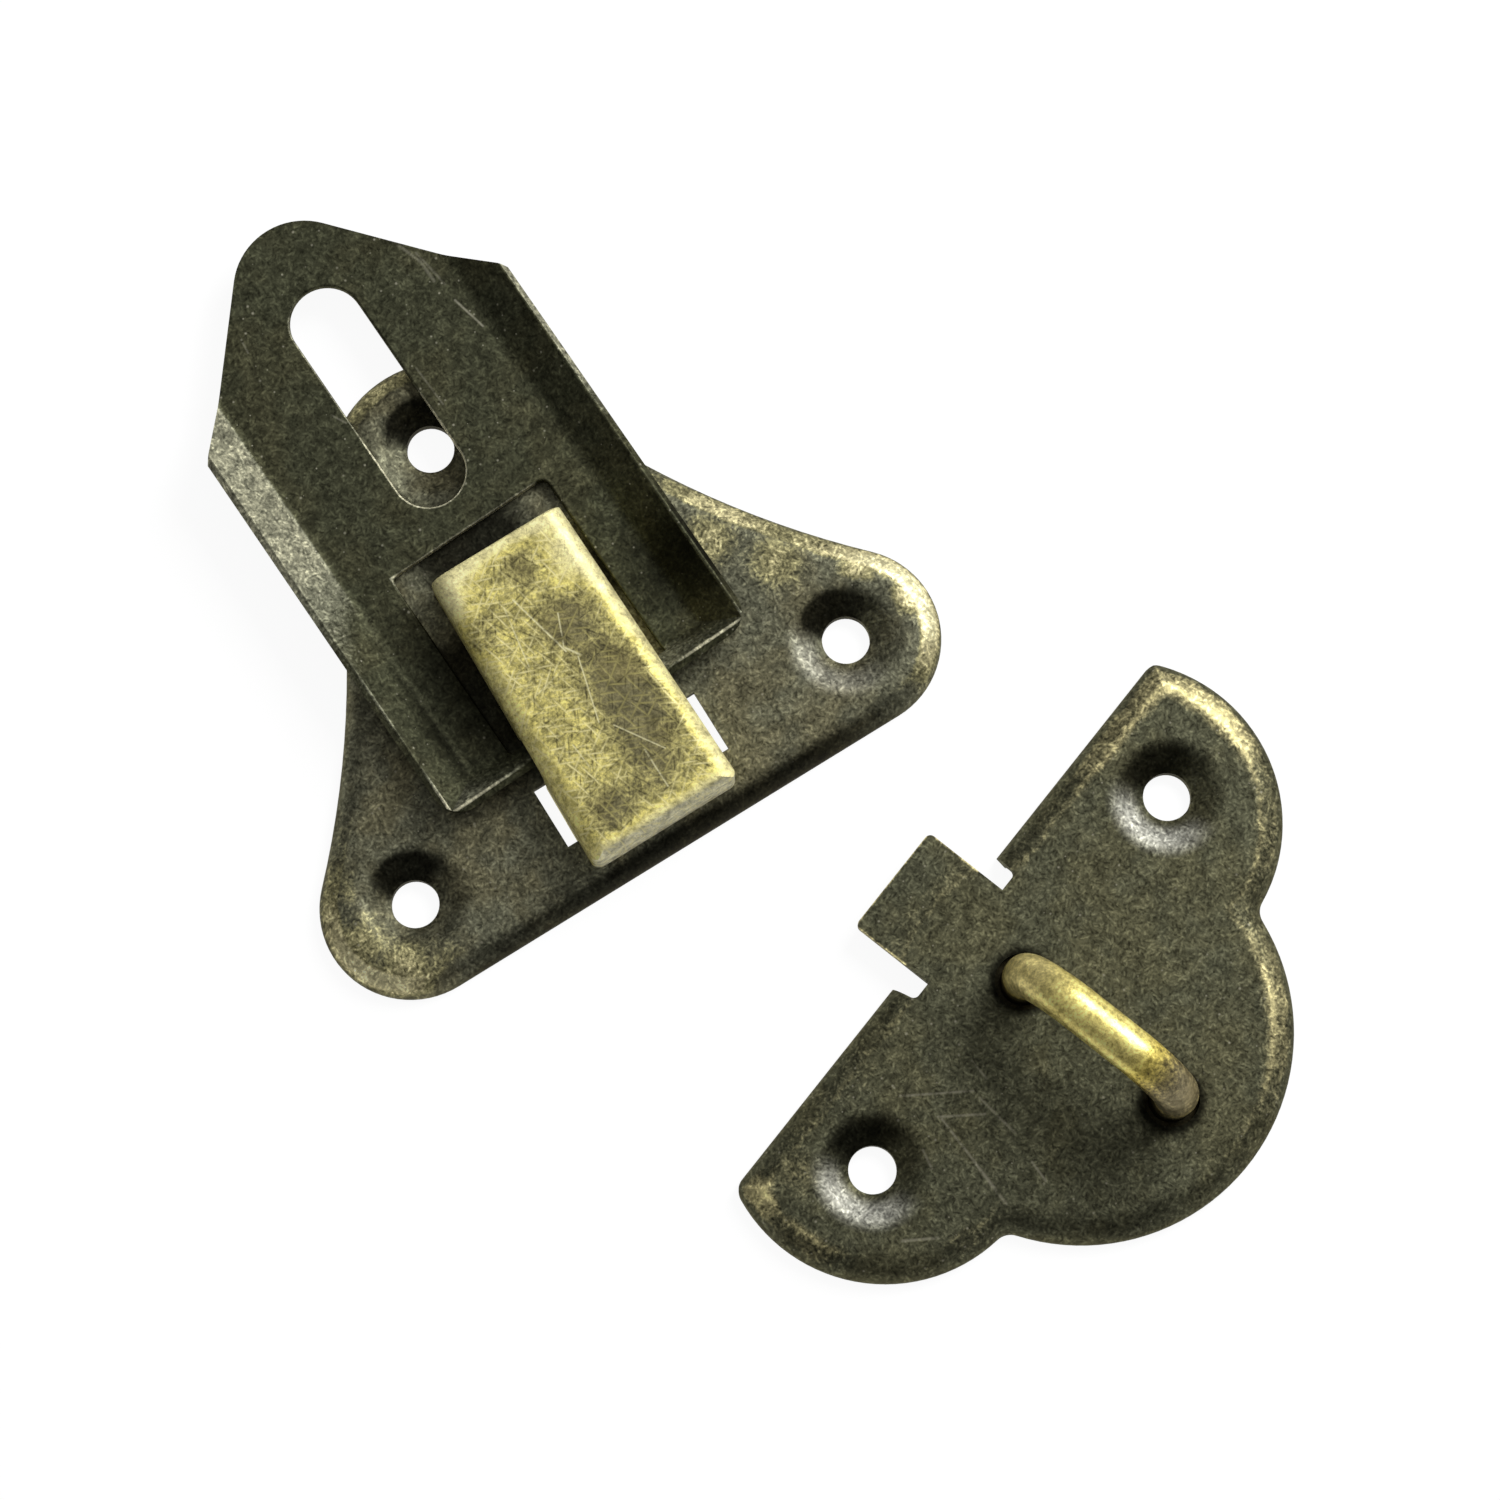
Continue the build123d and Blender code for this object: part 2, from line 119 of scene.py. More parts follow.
class Wiring:
    """Adds nodes to one shader tree and joins them, so that a finish reads as a sum of its effects."""

    def __init__(self, tree: Tree) -> None:
        """Keeps the tree that the nodes go into."""
        self.tree = tree

    def node(self, kind: str, **settings: object) -> Node:
        """Adds one node.

        Args:
            kind: Blender's type name of the node.
            settings: Properties to set on it.

        Returns:
            The new node.
        """
        made = self.tree.nodes.new(kind)
        for name, value in settings.items():
            setattr(made, name, value)
        return made

    def feed(self, socket: Socket, value: Feed) -> None:
        """Joins a socket to another, or sets its value.

        Args:
            socket: The socket that is fed.
            value: Another socket, or a constant.
        """
        if isinstance(value, Socket):
            self.tree.links.new(value, socket)
        else:
            socket.default_value = value

    def fill(self, node: Node, **values: Feed) -> Node:
        """Feeds inputs of a node.

        Args:
            node: The node.
            values: What goes into its inputs, by their names.

        Returns:
            The same node.
        """
        for name, value in values.items():
            self.feed(node.inputs[name], value)
        return node

    def sum(self, rule: Rule, first: Feed, second: Feed = 0.0, clamp: bool = False) -> Socket:
        """Works out one sum of two values.

        Args:
            rule: The sum.
            first: First value.
            second: Second value, which some sums don't use.
            clamp: Whether the result is kept between 0 and 1.

        Returns:
            The result.
        """
        made = self.node("ShaderNodeMath", operation=rule.value, use_clamp=clamp)
        self.feed(made.inputs[0], first)
        self.feed(made.inputs[1], second)
        return made.outputs[0]

    def plus(self, *values: Feed) -> Feed:
        """Adds values up."""
        return reduce(lambda total, value: self.sum(Rule.ADD, total, value), values)

    def times(self, *values: Feed) -> Feed:
        """Multiplies values."""
        return reduce(lambda total, value: self.sum(Rule.TIMES, total, value), values)

    def most(self, masks: list[Feed]) -> Feed:
        """The strongest of some masks at each point."""
        return reduce(lambda total, mask: self.sum(Rule.MOST, total, mask), masks, 0.0)

    def less(self, first: Feed, second: Feed) -> Socket:
        """One value less another."""
        return self.sum(Rule.LESS, first, second)

    def size(self, value: Feed) -> Socket:
        """A value without its sign."""
        return self.sum(Rule.SIZE, value)

    def scaled(self, value: Feed, gain: Feed, middle: float = 0.0) -> Socket:
        """A value less its middle, times a gain."""
        return self.times(self.less(value, middle) if middle else value, gain)

    def ease(self, value: Feed, start: Feed, end: Feed, low: Feed = 0.0, high: Feed = 1.0) -> Socket:
        """Eases from low to high as a value goes from start to end.

        Args:
            value: The value that is followed.
            start: Where the result is still low.
            end: Where the result has become high.
            low: Result before the start.
            high: Result past the end.

        Returns:
            The eased value.
        """
        made = self.node("ShaderNodeMapRange", interpolation_type="SMOOTHSTEP")
        limits = {"From Min": start, "From Max": end, "To Min": low, "To Max": high}
        return self.fill(made, Value=value, **limits).outputs["Result"]

    def blend(self, share: Feed, under: Feed, over: Feed, mode: Mixing = Mixing.MIX) -> Socket:
        """Lays one colour over another.

        Args:
            share: How much of the upper colour shows.
            under: Lower colour.
            over: Upper colour.
            mode: How they mix.

        Returns:
            The mixed colour.
        """
        made = self.node("ShaderNodeMix", data_type="RGBA", blend_type=mode.value)
        self.feed(made.inputs["Factor"], share)
        under_socket, over_socket = [s for s in made.inputs if s.type == "RGBA"]
        self.feed(under_socket, under)
        self.feed(over_socket, over)
        return next(s for s in made.outputs if s.type == "RGBA")

    def shade(self, colour: Feed, gain: Feed) -> Socket:
        """A colour times a value."""
        return self.blend(1.0, colour, gain, Mixing.MULTIPLY)

    def vectors(self, operation: str, first: Feed, second: Feed = (0.0, 0.0, 0.0)) -> Node:
        """Adds a sum of two vectors.

        Args:
            operation: Blender's name of the sum.
            first: First vector.
            second: Second vector, which some sums don't use.

        Returns:
            The node.
        """
        made = self.node("ShaderNodeVectorMath", operation=operation)
        self.feed(made.inputs[0], first)
        self.feed(made.inputs[1], second)
        return made

    def shift(self, rule: Rule, first: Feed, second: Feed) -> Socket:
        """Works out one sum of two vectors, part by part."""
        return self.vectors(rule.value, first, second).outputs["Vector"]

    def dot(self, first: Feed, second: Feed) -> Socket:
        """Dot product of two vectors."""
        return self.vectors("DOT_PRODUCT", first, second).outputs["Value"]

    def length(self, vector: Feed) -> Socket:
        """Length of a vector."""
        return self.vectors("LENGTH", vector).outputs["Value"]

    def distance(self, first: Feed, second: Feed) -> Socket:
        """Distance between two points."""
        return self.length(self.shift(Rule.LESS, first, second))

    def turned(self, vector: Feed, angle: Feed) -> Socket:
        """A vector turned about the upright."""
        made = self.node("ShaderNodeVectorRotate", rotation_type="Z_AXIS")
        return self.fill(made, Vector=vector, Angle=angle).outputs[0]

    def parts(self, vector: Feed) -> tuple[Socket, Socket, Socket]:
        """The three parts of a vector."""
        return tuple(self.fill(self.node("ShaderNodeSeparateXYZ"), Vector=vector).outputs)

    def join(self, x: Feed, y: Feed, z: Feed = 0.0) -> Socket:
        """Vector of three parts."""
        return self.fill(self.node("ShaderNodeCombineXYZ"), X=x, Y=y, Z=z).outputs[0]

    def cloud(self, place: Feed, kind: Cloud) -> Socket:
        """Cloudy value about the middle, at a point in millimetres."""
        values = {"Scale": kind.scale, "Detail": kind.detail, "Roughness": kind.roughness}
        return self.fill(self.node("ShaderNodeTexNoise"), Vector=place, **values).outputs[0]

    def effect(self, group: Tree, **values: Feed) -> Socket:
        """Places a shared effect with values for its named inputs, and gives its one output."""
        return self.fill(self.node("ShaderNodeGroup", node_tree=group), **values).outputs[0]


class Effect(Wiring):
    """A shader node group with named inputs and one output, built once and placed in several finishes."""

    def __init__(self, name: str, vectors: tuple[str, ...], values: tuple[str, ...]) -> None:
        """Opens the group.

        Args:
            name: Name of the group.
            vectors: Names of those of its inputs that are vectors.
            values: Names of those of its inputs that are values.
        """
        super().__init__(bpy.data.node_groups.new(name, "ShaderNodeTree"))
        for titles, kind in ((vectors, Kind.VECTOR), (values, Kind.VALUE)):
            for title in titles:
                self.tree.interface.new_socket(title, in_out="INPUT", socket_type=kind.value)
        self.tree.interface.new_socket("Mask", in_out="OUTPUT", socket_type=Kind.VALUE.value)
        self.inputs = self.node("NodeGroupInput").outputs

    def __getitem__(self, title: str) -> Socket:
        """The group's input of that name."""
        return self.inputs[title]

    def close(self, mask: Socket) -> Tree:
        """Joins the result to the output, and gives the finished group."""
        self.feed(self.node("NodeGroupOutput").inputs["Mask"], mask)
        return self.tree


def random_net(wire: Wiring, place: Feed, spacing: Feed) -> tuple[Socket, Socket, tuple[Socket, ...]]:
    """Random net of cells, each about a point.

    Args:
        wire: The tree.
        place: Point in millimetres.
        spacing: Size of a cell in millimetres.

    Returns:
        Distance to the cell's point and offset from it, in cells, and three random values of the cell.
    """
    cells = wire.shift(Rule.OVER, place, wire.join(spacing, spacing, spacing))
    net = wire.node("ShaderNodeTexVoronoi", voronoi_dimensions="3D", feature="F1")
    wire.fill(net, Vector=cells, Scale=1.0)
    draw = wire.fill(wire.node("ShaderNodeSeparateColor"), Color=net.outputs["Color"])
    offset = wire.shift(Rule.LESS, cells, net.outputs["Position"])
    return net.outputs["Distance"], offset, tuple(draw.outputs)


def scratch_effect() -> Tree:
    """Fine scratches: each cell of a random net holds one short, slightly bowed stroke with its own turn.

    With d the offset from the cell's point, turned by a random angle within the spread, the stroke is where
    |d.y + bow d.x^2| is under its width, faded towards its ends, in the share of cells that have one.

    Returns:
        The group, whose mask is 1 on a scratch.
    """
    wire = Effect("scratches", ("Place",), ("Spacing", "Width", "Share", "Spread"))
    _, offset, (first, second, third) = random_net(wire, wire["Place"], wire["Spacing"])
    turned = wire.turned(offset, wire.scaled(first, wire["Spread"], MIDDLE))
    along, across, _ = wire.parts(turned)
    bowed = wire.plus(across, wire.times(wire.scaled(third, SCRATCH_BOW, MIDDLE), along, along))
    line = wire.ease(wire.times(wire.size(bowed), wire["Spacing"]), wire["Width"], 0.0)
    ends = wire.ease(wire.size(along), *SCRATCH_ENDS)
    kept = wire.sum(Rule.ABOVE, wire["Share"], second)
    depth = wire.plus(wire.scaled(third, 1.0 - SCRATCH_FAINTEST), SCRATCH_FAINTEST)
    return wire.close(wire.times(line, ends, kept, depth))


def speck_effect() -> Tree:
    """Small round specks: discs of random size about the points of a random net, in a share of its cells.

    Returns:
        The group, whose mask is 1 on a speck.
    """
    wire = Effect("specks", ("Place",), ("Spacing", "Radius", "Share"))
    distance, _, (first, second, _) = random_net(wire, wire["Place"], wire["Spacing"])
    reach = wire.sum(Rule.OVER, wire.times(wire["Radius"], first), wire["Spacing"])
    kept = wire.sum(Rule.ABOVE, wire["Share"], second)
    return wire.close(wire.times(wire.ease(distance, reach, 0.0), kept))


def wear_and_light_patch_effect() -> Tree:
    """A patch that adds wear and painted light, or takes it away where its strength is below 0, in places as
    painted shade: its strength at its centre, easing to nothing at its reach.

    Returns:
        The group.
    """
    wire = Effect("wear_and_light_patch", ("Place", "Centre"), ("Reach", "Strength"))
    far = wire.distance(wire["Place"], wire["Centre"])
    return wire.close(wire.times(wire.ease(far, wire["Reach"], 0.0), wire["Strength"]))


def band_effect() -> Tree:
    """A band of a value: 0 up to Rise, 1 between Top and Fall, 0 again from End.

    Returns:
        The group.
    """
    wire = Effect("band", (), ("Value", "Rise", "Top", "Fall", "End"))
    climbs = wire.ease(wire["Value"], wire["Rise"], wire["Top"])
    falls = wire.ease(wire["Value"], wire["End"], wire["Fall"])
    return wire.close(wire.times(climbs, falls))


def stroke_effect() -> Tree:
    """One long scratch: where the distance in plan to the line from Start to End is under its width.

    With s = End - Start and t = (p - Start).s / s.s kept between 0 and 1, it is |p - Start - t s|.

    Returns:
        The group, whose mask is 1 on the scratch.
    """
    wire = Effect("stroke", ("Place", "Start", "End"), ("Width",))
    x, y, _ = wire.parts(wire["Place"])
    run = wire.shift(Rule.LESS, wire["End"], wire["Start"])
    offset = wire.shift(Rule.LESS, wire.join(x, y), wire["Start"])
    share = wire.sum(Rule.OVER, wire.dot(offset, run), wire.dot(run, run), clamp=True)
    nearest = wire.shift(Rule.TIMES, run, wire.join(share, share, share))
    return wire.close(wire.ease(wire.distance(offset, nearest), wire["Width"], 0.0))


def seat_side_effect() -> Tree:
    """One side of a round screw seat, for painted shade and painted highlights: a ring about the hole,
    strongest towards a direction.

    With d the offset in plan from the hole, r its length and u the direction, the mask is a ring of r times
    an easing of d.u / r from 0 to its most.

    Returns:
        The group.
    """
    wire = Effect("seat_side", ("Place", "Hole", "Toward"), ("Inner", "Outer"))
    x, y, _ = wire.parts(wire["Place"])
    offset = wire.shift(Rule.LESS, wire.join(x, y), wire["Hole"])
    reach = wire.length(offset)
    facing = wire.ease(wire.sum(Rule.OVER, wire.dot(offset, wire["Toward"]), reach), 0.0, SEAT_FACING)
    inner, outer = wire["Inner"], wire["Outer"]
    inside = wire.ease(reach, wire.less(inner, SEAT_INNER_SOFT), wire.plus(inner, SEAT_INNER_SOFT))
    outside = wire.ease(reach, wire.plus(outer, SEAT_OUTER_SOFT), wire.less(outer, SEAT_OUTER_SOFT))
    return wire.close(wire.times(facing, inside, outside))


def lobed_edge_effect() -> Tree:
    """Distance inwards from a lobed outline: a belly and two lobes, cut off along a straight edge.

    It is the least of edge - y and the most of radius - |p - centre| of the three rounds. Within the neck,
    where a tongue runs on past the straight edge, that edge doesn't count.

    Returns:
        The group; its mask is the distance.
    """
    wire = Effect("lobed_edge", ("Place", "Belly", "Lobe"), ("BellyRadius", "LobeRadius", "Edge", "Neck"))
    x, y, _ = wire.parts(wire["Place"])
    side = wire.size(x)
    belly = wire.less(wire["BellyRadius"], wire.distance(wire.join(x, y), wire["Belly"]))
    lobe = wire.less(wire["LobeRadius"], wire.distance(wire.join(side, y), wire["Lobe"]))
    neck = wire.times(wire.sum(Rule.ABOVE, wire["Neck"], side), wire["BellyRadius"])
    straight = wire.plus(wire.less(wire["Edge"], y), neck)
    return wire.close(wire.sum(Rule.LEAST, wire.sum(Rule.MOST, belly, lobe), straight))


def slot_edge_effect() -> Tree:
    """Distance from the edge of a slot with round ends.

    It is | |p - nearest point of the slot's middle line| - half width |.

    Returns:
        The group; its mask is the distance.
    """
    wire = Effect("slot_edge", ("Place",), ("Near", "Far", "Half"))
    x, y, _ = wire.parts(wire["Place"])
    middle = wire.sum(Rule.LEAST, wire.sum(Rule.MOST, y, wire["Near"]), wire["Far"])
    reach = wire.length(wire.join(x, wire.less(y, middle)))
    return wire.close(wire.size(wire.less(reach, wire["Half"])))


def box_edge_effect() -> Tree:
    """Distance from the outline of a box about the middle line.

    It is |max(|x| - half width, y - far end, near end - y)|, which is exact beside the box's sides.

    Returns:
        The group; its mask is the distance.
    """
    wire = Effect("box_edge", ("Place",), ("Near", "Far", "Half"))
    x, y, _ = wire.parts(wire["Place"])
    sideways = wire.less(wire.size(x), wire["Half"])
    beyond = wire.sum(Rule.MOST, wire.less(y, wire["Far"]), wire.less(wire["Near"], y))
    return wire.close(wire.size(wire.sum(Rule.MOST, sideways, beyond)))


@dataclass(frozen=True)
class Effects:
    """The shared effects of all the finishes."""

    scratches: Tree = field(default_factory=scratch_effect)
    specks: Tree = field(default_factory=speck_effect)
    wear_and_light_patch: Tree = field(default_factory=wear_and_light_patch_effect)
    band: Tree = field(default_factory=band_effect)
    stroke: Tree = field(default_factory=stroke_effect)
    seat_side: Tree = field(default_factory=seat_side_effect)
    lobed_edge: Tree = field(default_factory=lobed_edge_effect)
    slot_edge: Tree = field(default_factory=slot_edge_effect)
    box_edge: Tree = field(default_factory=box_edge_effect)


@dataclass(frozen=True)
class Surface:
    """A point of a piece's surface as a finish sees it: in millimetres in the piece's own axes."""

    wire: Wiring
    effects: Effects
    place: Socket
    normal: Socket


@dataclass(frozen=True)
class Seat:
    """Where a piece's own axes lie in the row frame: origin in metres and turn about the upright."""

    x: float = 0.0
    y: float = 0.0
    turn: float = 0.0

    def surface(self, wire: Wiring, effects: Effects) -> Surface:
        """Adds the piece's own coordinates to a finish.

        Args:
            wire: The finish's tree.
            effects: The shared effects.

        Returns:
            The surface in the piece's own axes, but with the normal in those of the object.
        """
        source = wire.node("ShaderNodeTexCoord")
        local = wire.node("ShaderNodeMapping", vector_type="TEXTURE")
        wire.fill(local, Vector=source.outputs["Object"], Location=(self.x, self.y, 0.0),
                  Rotation=(0.0, 0.0, self.turn), Scale=(MM, MM, MM))
        return Surface(wire, effects, local.outputs[0], source.outputs["Normal"])


@dataclass(frozen=True)
class WearAndLightPatch:
    """A patch that adds wear and painted light, or takes it away where its strength is below 0, in places as
    painted shade. Own axes, millimetres.
    """

    x: float
    y: float
    z: float
    reach: float
    strength: float

    def mask(self, surface: Surface) -> Socket:
        """Adds the place's mask to a finish."""
        return surface.wire.effect(
            surface.effects.wear_and_light_patch, Place=surface.place, Centre=(self.x, self.y, self.z),
            Reach=self.reach, Strength=self.strength,
        )


def patches_at(z: float, *rows: Spot) -> tuple[WearAndLightPatch, ...]:
    """Patches of wear, painted light and painted shade at one height, each row with its x, y, reach and
    strength.
    """
    return tuple(WearAndLightPatch(x, y, z, reach, strength) for x, y, reach, strength in rows)


@dataclass(frozen=True)
class Stroke:
    """One long scratch, from start to end in plan, in the piece's own axes in millimetres."""

    start: Point
    end: Point
    width: float
    strength: float

    def mask(self, surface: Surface) -> Socket:
        """Adds the scratch's mask to a finish."""
        line = surface.wire.effect(
            surface.effects.stroke, Place=surface.place, Start=(*self.start, 0.0), End=(*self.end, 0.0),
            Width=self.width,
        )
        return surface.wire.scaled(line, self.strength)


def scored_by(*rows: tuple[Point, Point, float, float]) -> tuple[Stroke, ...]:
    """Long scratches, each row with its start, end, width and strength."""
    return tuple(Stroke(*row) for row in rows)


@dataclass(frozen=True)
class Pattern:
    """The fine patterns of one surface: two clouds, and masks of its light and dark scratches."""

    grain: Socket
    mottle: Socket
    light_lines: Feed
    dark_lines: Feed


@dataclass(frozen=True)
class Finish:
    """Antique plating: a dark patina, rubbed in steps through to bright metal, and finely scratched.

    A pair for metallic or roughness is that of the patina and that of rubbed metal. A step is where
    something starts to show and where it shows in full.
    """

    name: str
    patina: Colour
    stain: Colour
    olive: Colour
    gold: Colour
    bright: Colour
    silver: Colour = rgb(0.60, 0.595, 0.53)
    scored: Colour = rgb(0.36, 0.34, 0.25)
    edge_tint: Colour = rgb(0.5, 0.47, 0.36)
    specular: float = 0.2
    metallic: Span = (0.7, 0.55)
    metallic_step: Span = (0.0, 0.5)
    roughness: Span = (0.50, 0.50)
    roughness_step: Span = (0.1, 0.7)
    bared_roughness: float = 0.08
    grain_roughness: float = 0.25
    scratch_spacing: float = 0.42
    scratch_width: float = 0.12
    scratch_share: float = 0.9
    scratch_stretch: float = 1.0
    scratch_spread: float = math.tau
    scratch_strength: float = 0.0
    fibre_light: float = 1.1
    fibre_dark: float = 0.62
    fibre_dulled_step: Span = (0.8, 0.4)
    fibre_least: float = 0.25
    stroke_step: Span = (0.3, 0.55)
    speck_spacing: float = 0.5
    speck_radius: float = 0.14
    speck_share: float = 0.5
    speck_strength: float = 0.8
    fibrous: float = 0.22
    grain_share: float = 1.4
    raggedness: float = 0.65
    wear_gain: float = 1.3
    rubbed_step: Span = (0.1, 0.95)
    rubbed_least: float = 0.25
    stain_step: Span = (0.42, 0.66)
    olive_step: Span = (0.0, 0.4)
    gold_step: Span = (0.3, 0.75)
    bright_step: Span = (0.7, 1.0)
    fresh_step: Span = (0.1, 0.6)
    grain_shades: Span = (0.68, 1.32)
    mottle_shades: Span = (0.66, 1.34)
    # How dark the most darkened points go, under grime and painted shade.
    darkening: float = 0.12
    relief: float = 0.3
    relief_depth: float = 0.04
    grain_height: float = 0.8
    line_depth: float = 0.4

    def fill(self, surface: Surface, wear_and_light: Feed, strokes: Feed, bared_and_sheen: Feed) -> None:
        """Fills the tree of a surface with the finish.

        Args:
            surface: The piece's surface in an empty material.
            wear_and_light: How far each point is worn or painted lighter: below 0 it is darkened by grime
                and painted shade, at 1 it is bright metal.
            strokes: Mask of its long scratches.
            bared_and_sheen: Mask of where the grey metal's colour shows: metal bared by wear, and painted
                highlights and reflections.
        """
        wire = surface.wire
        shader = next(n for n in wire.tree.nodes if n.type == "BSDF_PRINCIPLED")
        pattern = Pattern(
            wire.cloud(surface.place, GRAIN), wire.cloud(surface.place, MOTTLE),
            self.scratches(surface, LIGHT_MOVE, LIGHT_TURN), self.scratches(surface, DARK_MOVE, DARK_TURN),
        )
        tone = self.tone(wire, pattern, wear_and_light)
        strokes = wire.times(strokes, wire.ease(pattern.mottle, *self.stroke_step))

        base = wire.blend(bared_and_sheen, self.plating(surface, tone), self.silver)
        base = self.marked(surface, pattern, tone, strokes, base)
        # Darkens where the wear falls below 0: grime, and painted shade and shadow.
        base = wire.shade(base, wire.ease(wear_and_light, 0.0, -1.0, 1.0, self.darkening))
        rough = wire.plus(
            wire.ease(tone, *self.roughness_step, *self.roughness),
            wire.scaled(bared_and_sheen, self.bared_roughness),
            wire.scaled(pattern.grain, self.grain_roughness, MIDDLE),
        )
        lines = wire.most([pattern.light_lines, strokes, pattern.dark_lines])
        raised = wire.scaled(pattern.grain, self.grain_height)
        height = wire.less(raised, wire.scaled(lines, self.line_depth))
        bump = wire.node("ShaderNodeBump")
        wire.fill(bump, Strength=self.relief, Distance=self.relief_depth * MM, Height=height)

        metallic = wire.ease(tone, *self.metallic_step, *self.metallic)
        wire.fill(shader, Roughness=rough, Metallic=metallic, Normal=bump.outputs[0])
        wire.feed(shader.inputs["Base Color"], base)
        shader.inputs["Specular Tint"].default_value = self.edge_tint
        shader.inputs["Specular IOR Level"].default_value = self.specular

    def tone(self, wire: Wiring, pattern: Pattern, wear_and_light: Feed) -> Socket:
        """How far the plating is rubbed through, with edges made ragged by the fine patterns.

        Args:
            wire: The tree.
            pattern: The surface's fine patterns.
            wear_and_light: How far each point is worn or painted lighter or darker.

        Returns:
            The tone, from 0 for the patina to 1 for bright metal.
        """
        grain = wire.scaled(pattern.grain, self.grain_share, MIDDLE)
        mottle = wire.less(pattern.mottle, MIDDLE)
        fibres = wire.scaled(wire.less(pattern.light_lines, pattern.dark_lines), self.fibrous)
        edges = wire.scaled(wire.plus(grain, mottle, fibres), self.raggedness)
        lightened = wire.ease(wire.plus(edges, wire.scaled(wear_and_light, self.wear_gain)), *self.rubbed_step)
        depth = wire.plus(wire.scaled(wear_and_light, 1.0 - self.rubbed_least), self.rubbed_least)
        return wire.sum(Rule.TIMES, lightened, depth, clamp=True)

    def plating(self, surface: Surface, tone: Socket) -> Socket:
        """Colour of the plating: stained patina, then olive, gold and bright metal as the tone rises.

        Args:
            surface: The piece's surface.
            tone: How far its plating is rubbed through.

        Returns:
            The colour.
        """
        wire = surface.wire
        stained = wire.ease(wire.cloud(surface.place, STAINS), *self.stain_step)
        base = wire.blend(stained, self.patina, self.stain)
        for step, colour in ((self.olive_step, self.olive), (self.gold_step, self.gold),
                             (self.bright_step, self.bright)):
            base = wire.blend(wire.ease(tone, *step), base, colour)
        return base

    def marked(self, surface: Surface, pattern: Pattern, tone: Feed, strokes: Feed, base: Feed) -> Socket:
        """Lays the fine patterns, the scratches and the specks over a colour.

        Args:
            surface: The piece's surface.
            pattern: Its fine patterns.
            tone: How far its plating is rubbed through.
            strokes: Mask of its long scratches.
            base: The colour.

        Returns:
            The marked colour.
        """
        wire = surface.wire
        base = wire.shade(base, wire.ease(pattern.grain, *CLOUD_SPAN, *self.grain_shades))
        base = wire.shade(base, wire.ease(pattern.mottle, *CLOUD_SPAN, *self.mottle_shades))
        dulled = wire.ease(tone, *self.fibre_dulled_step, self.fibre_least, 1.0)
        pale = wire.plus(wire.scaled(pattern.light_lines, self.fibre_light), 1.0)
        base = wire.shade(base, wire.less(pale, wire.times(pattern.dark_lines, self.fibre_dark, dulled)))
        fresh = wire.blend(wire.ease(tone, *self.fresh_step), self.olive, self.bright)
        base = wire.blend(wire.scaled(pattern.light_lines, self.scratch_strength), base, fresh)
        base = wire.blend(strokes, base, self.scored)
        specks = wire.effect(surface.effects.specks, Place=surface.place, Spacing=self.speck_spacing,
                             Radius=self.speck_radius, Share=self.speck_share)
        return wire.blend(wire.scaled(specks, self.speck_strength), base, self.scored)

    def scratches(self, surface: Surface, move: tuple[float, float, float], turn: float) -> Feed:
        """Three nets of fine scratches of different length and run, laid over each other.

        Args:
            surface: The piece's surface.
            move: Moves the nets, so that two sets differ.
            turn: Turns the nets.

        Returns:
            Mask of all the scratches.
        """
        wire = surface.wire
        layers = []
        for step, net_turn in enumerate(NET_TURNS):
            turned = wire.turned(wire.shift(Rule.ADD, surface.place, move), net_turn + turn)
            layers.append(wire.effect(
                surface.effects.scratches,
                Place=wire.shift(Rule.TIMES, turned, (1.0 / self.scratch_stretch, 1.0, 1.0)),
                Spacing=self.scratch_spacing * (1.0 + NET_GROWTH * step), Width=self.scratch_width,
                Share=self.scratch_share, Spread=self.scratch_spread,
            ))
        return wire.most(layers)


PLATE_BRONZE = Finish(
    name="base_bronze", patina=rgb(0.130, 0.129, 0.086), stain=rgb(0.138, 0.128, 0.076),
    olive=rgb(0.25, 0.23, 0.115), gold=rgb(0.50, 0.45, 0.25), bright=rgb(0.82, 0.76, 0.46), raggedness=0.5,
)
STRIKE_BRONZE = Finish(
    name="strike_bronze", patina=rgb(0.083, 0.083, 0.051), stain=rgb(0.096, 0.092, 0.052),
    olive=rgb(0.21, 0.19, 0.10), gold=rgb(0.44, 0.39, 0.20), bright=rgb(0.82, 0.74, 0.34), raggedness=0.45,
)
LEVER_BRONZE = Finish(
    name="lever_bronze", patina=rgb(0.056, 0.058, 0.034), stain=rgb(0.064, 0.063, 0.035),
    olive=rgb(0.20, 0.20, 0.14), gold=rgb(0.42, 0.40, 0.28), bright=rgb(0.78, 0.74, 0.52),
    scored=rgb(0.48, 0.46, 0.35), roughness=(0.58, 0.55), raggedness=0.25, fibre_light=1.0, fibre_dark=0.55,
)
CAP_BRASS = Finish(
    name="cap_brass", patina=rgb(0.20, 0.18, 0.095), stain=rgb(0.23, 0.20, 0.09),
    olive=rgb(0.45, 0.40, 0.15), gold=rgb(0.74, 0.65, 0.21), bright=rgb(0.95, 0.87, 0.46),
    scored=rgb(0.95, 0.90, 0.55), edge_tint=rgb(0.7, 0.65, 0.45), roughness=(0.58, 0.58),
    scratch_width=0.10, scratch_share=0.95, scratch_stretch=3.5, scratch_spread=0.7, scratch_strength=0.8,
    fibre_light=0.0, fibre_dark=0.5, speck_strength=0.0, fibrous=0.16, raggedness=0.6, relief=0.4,
)
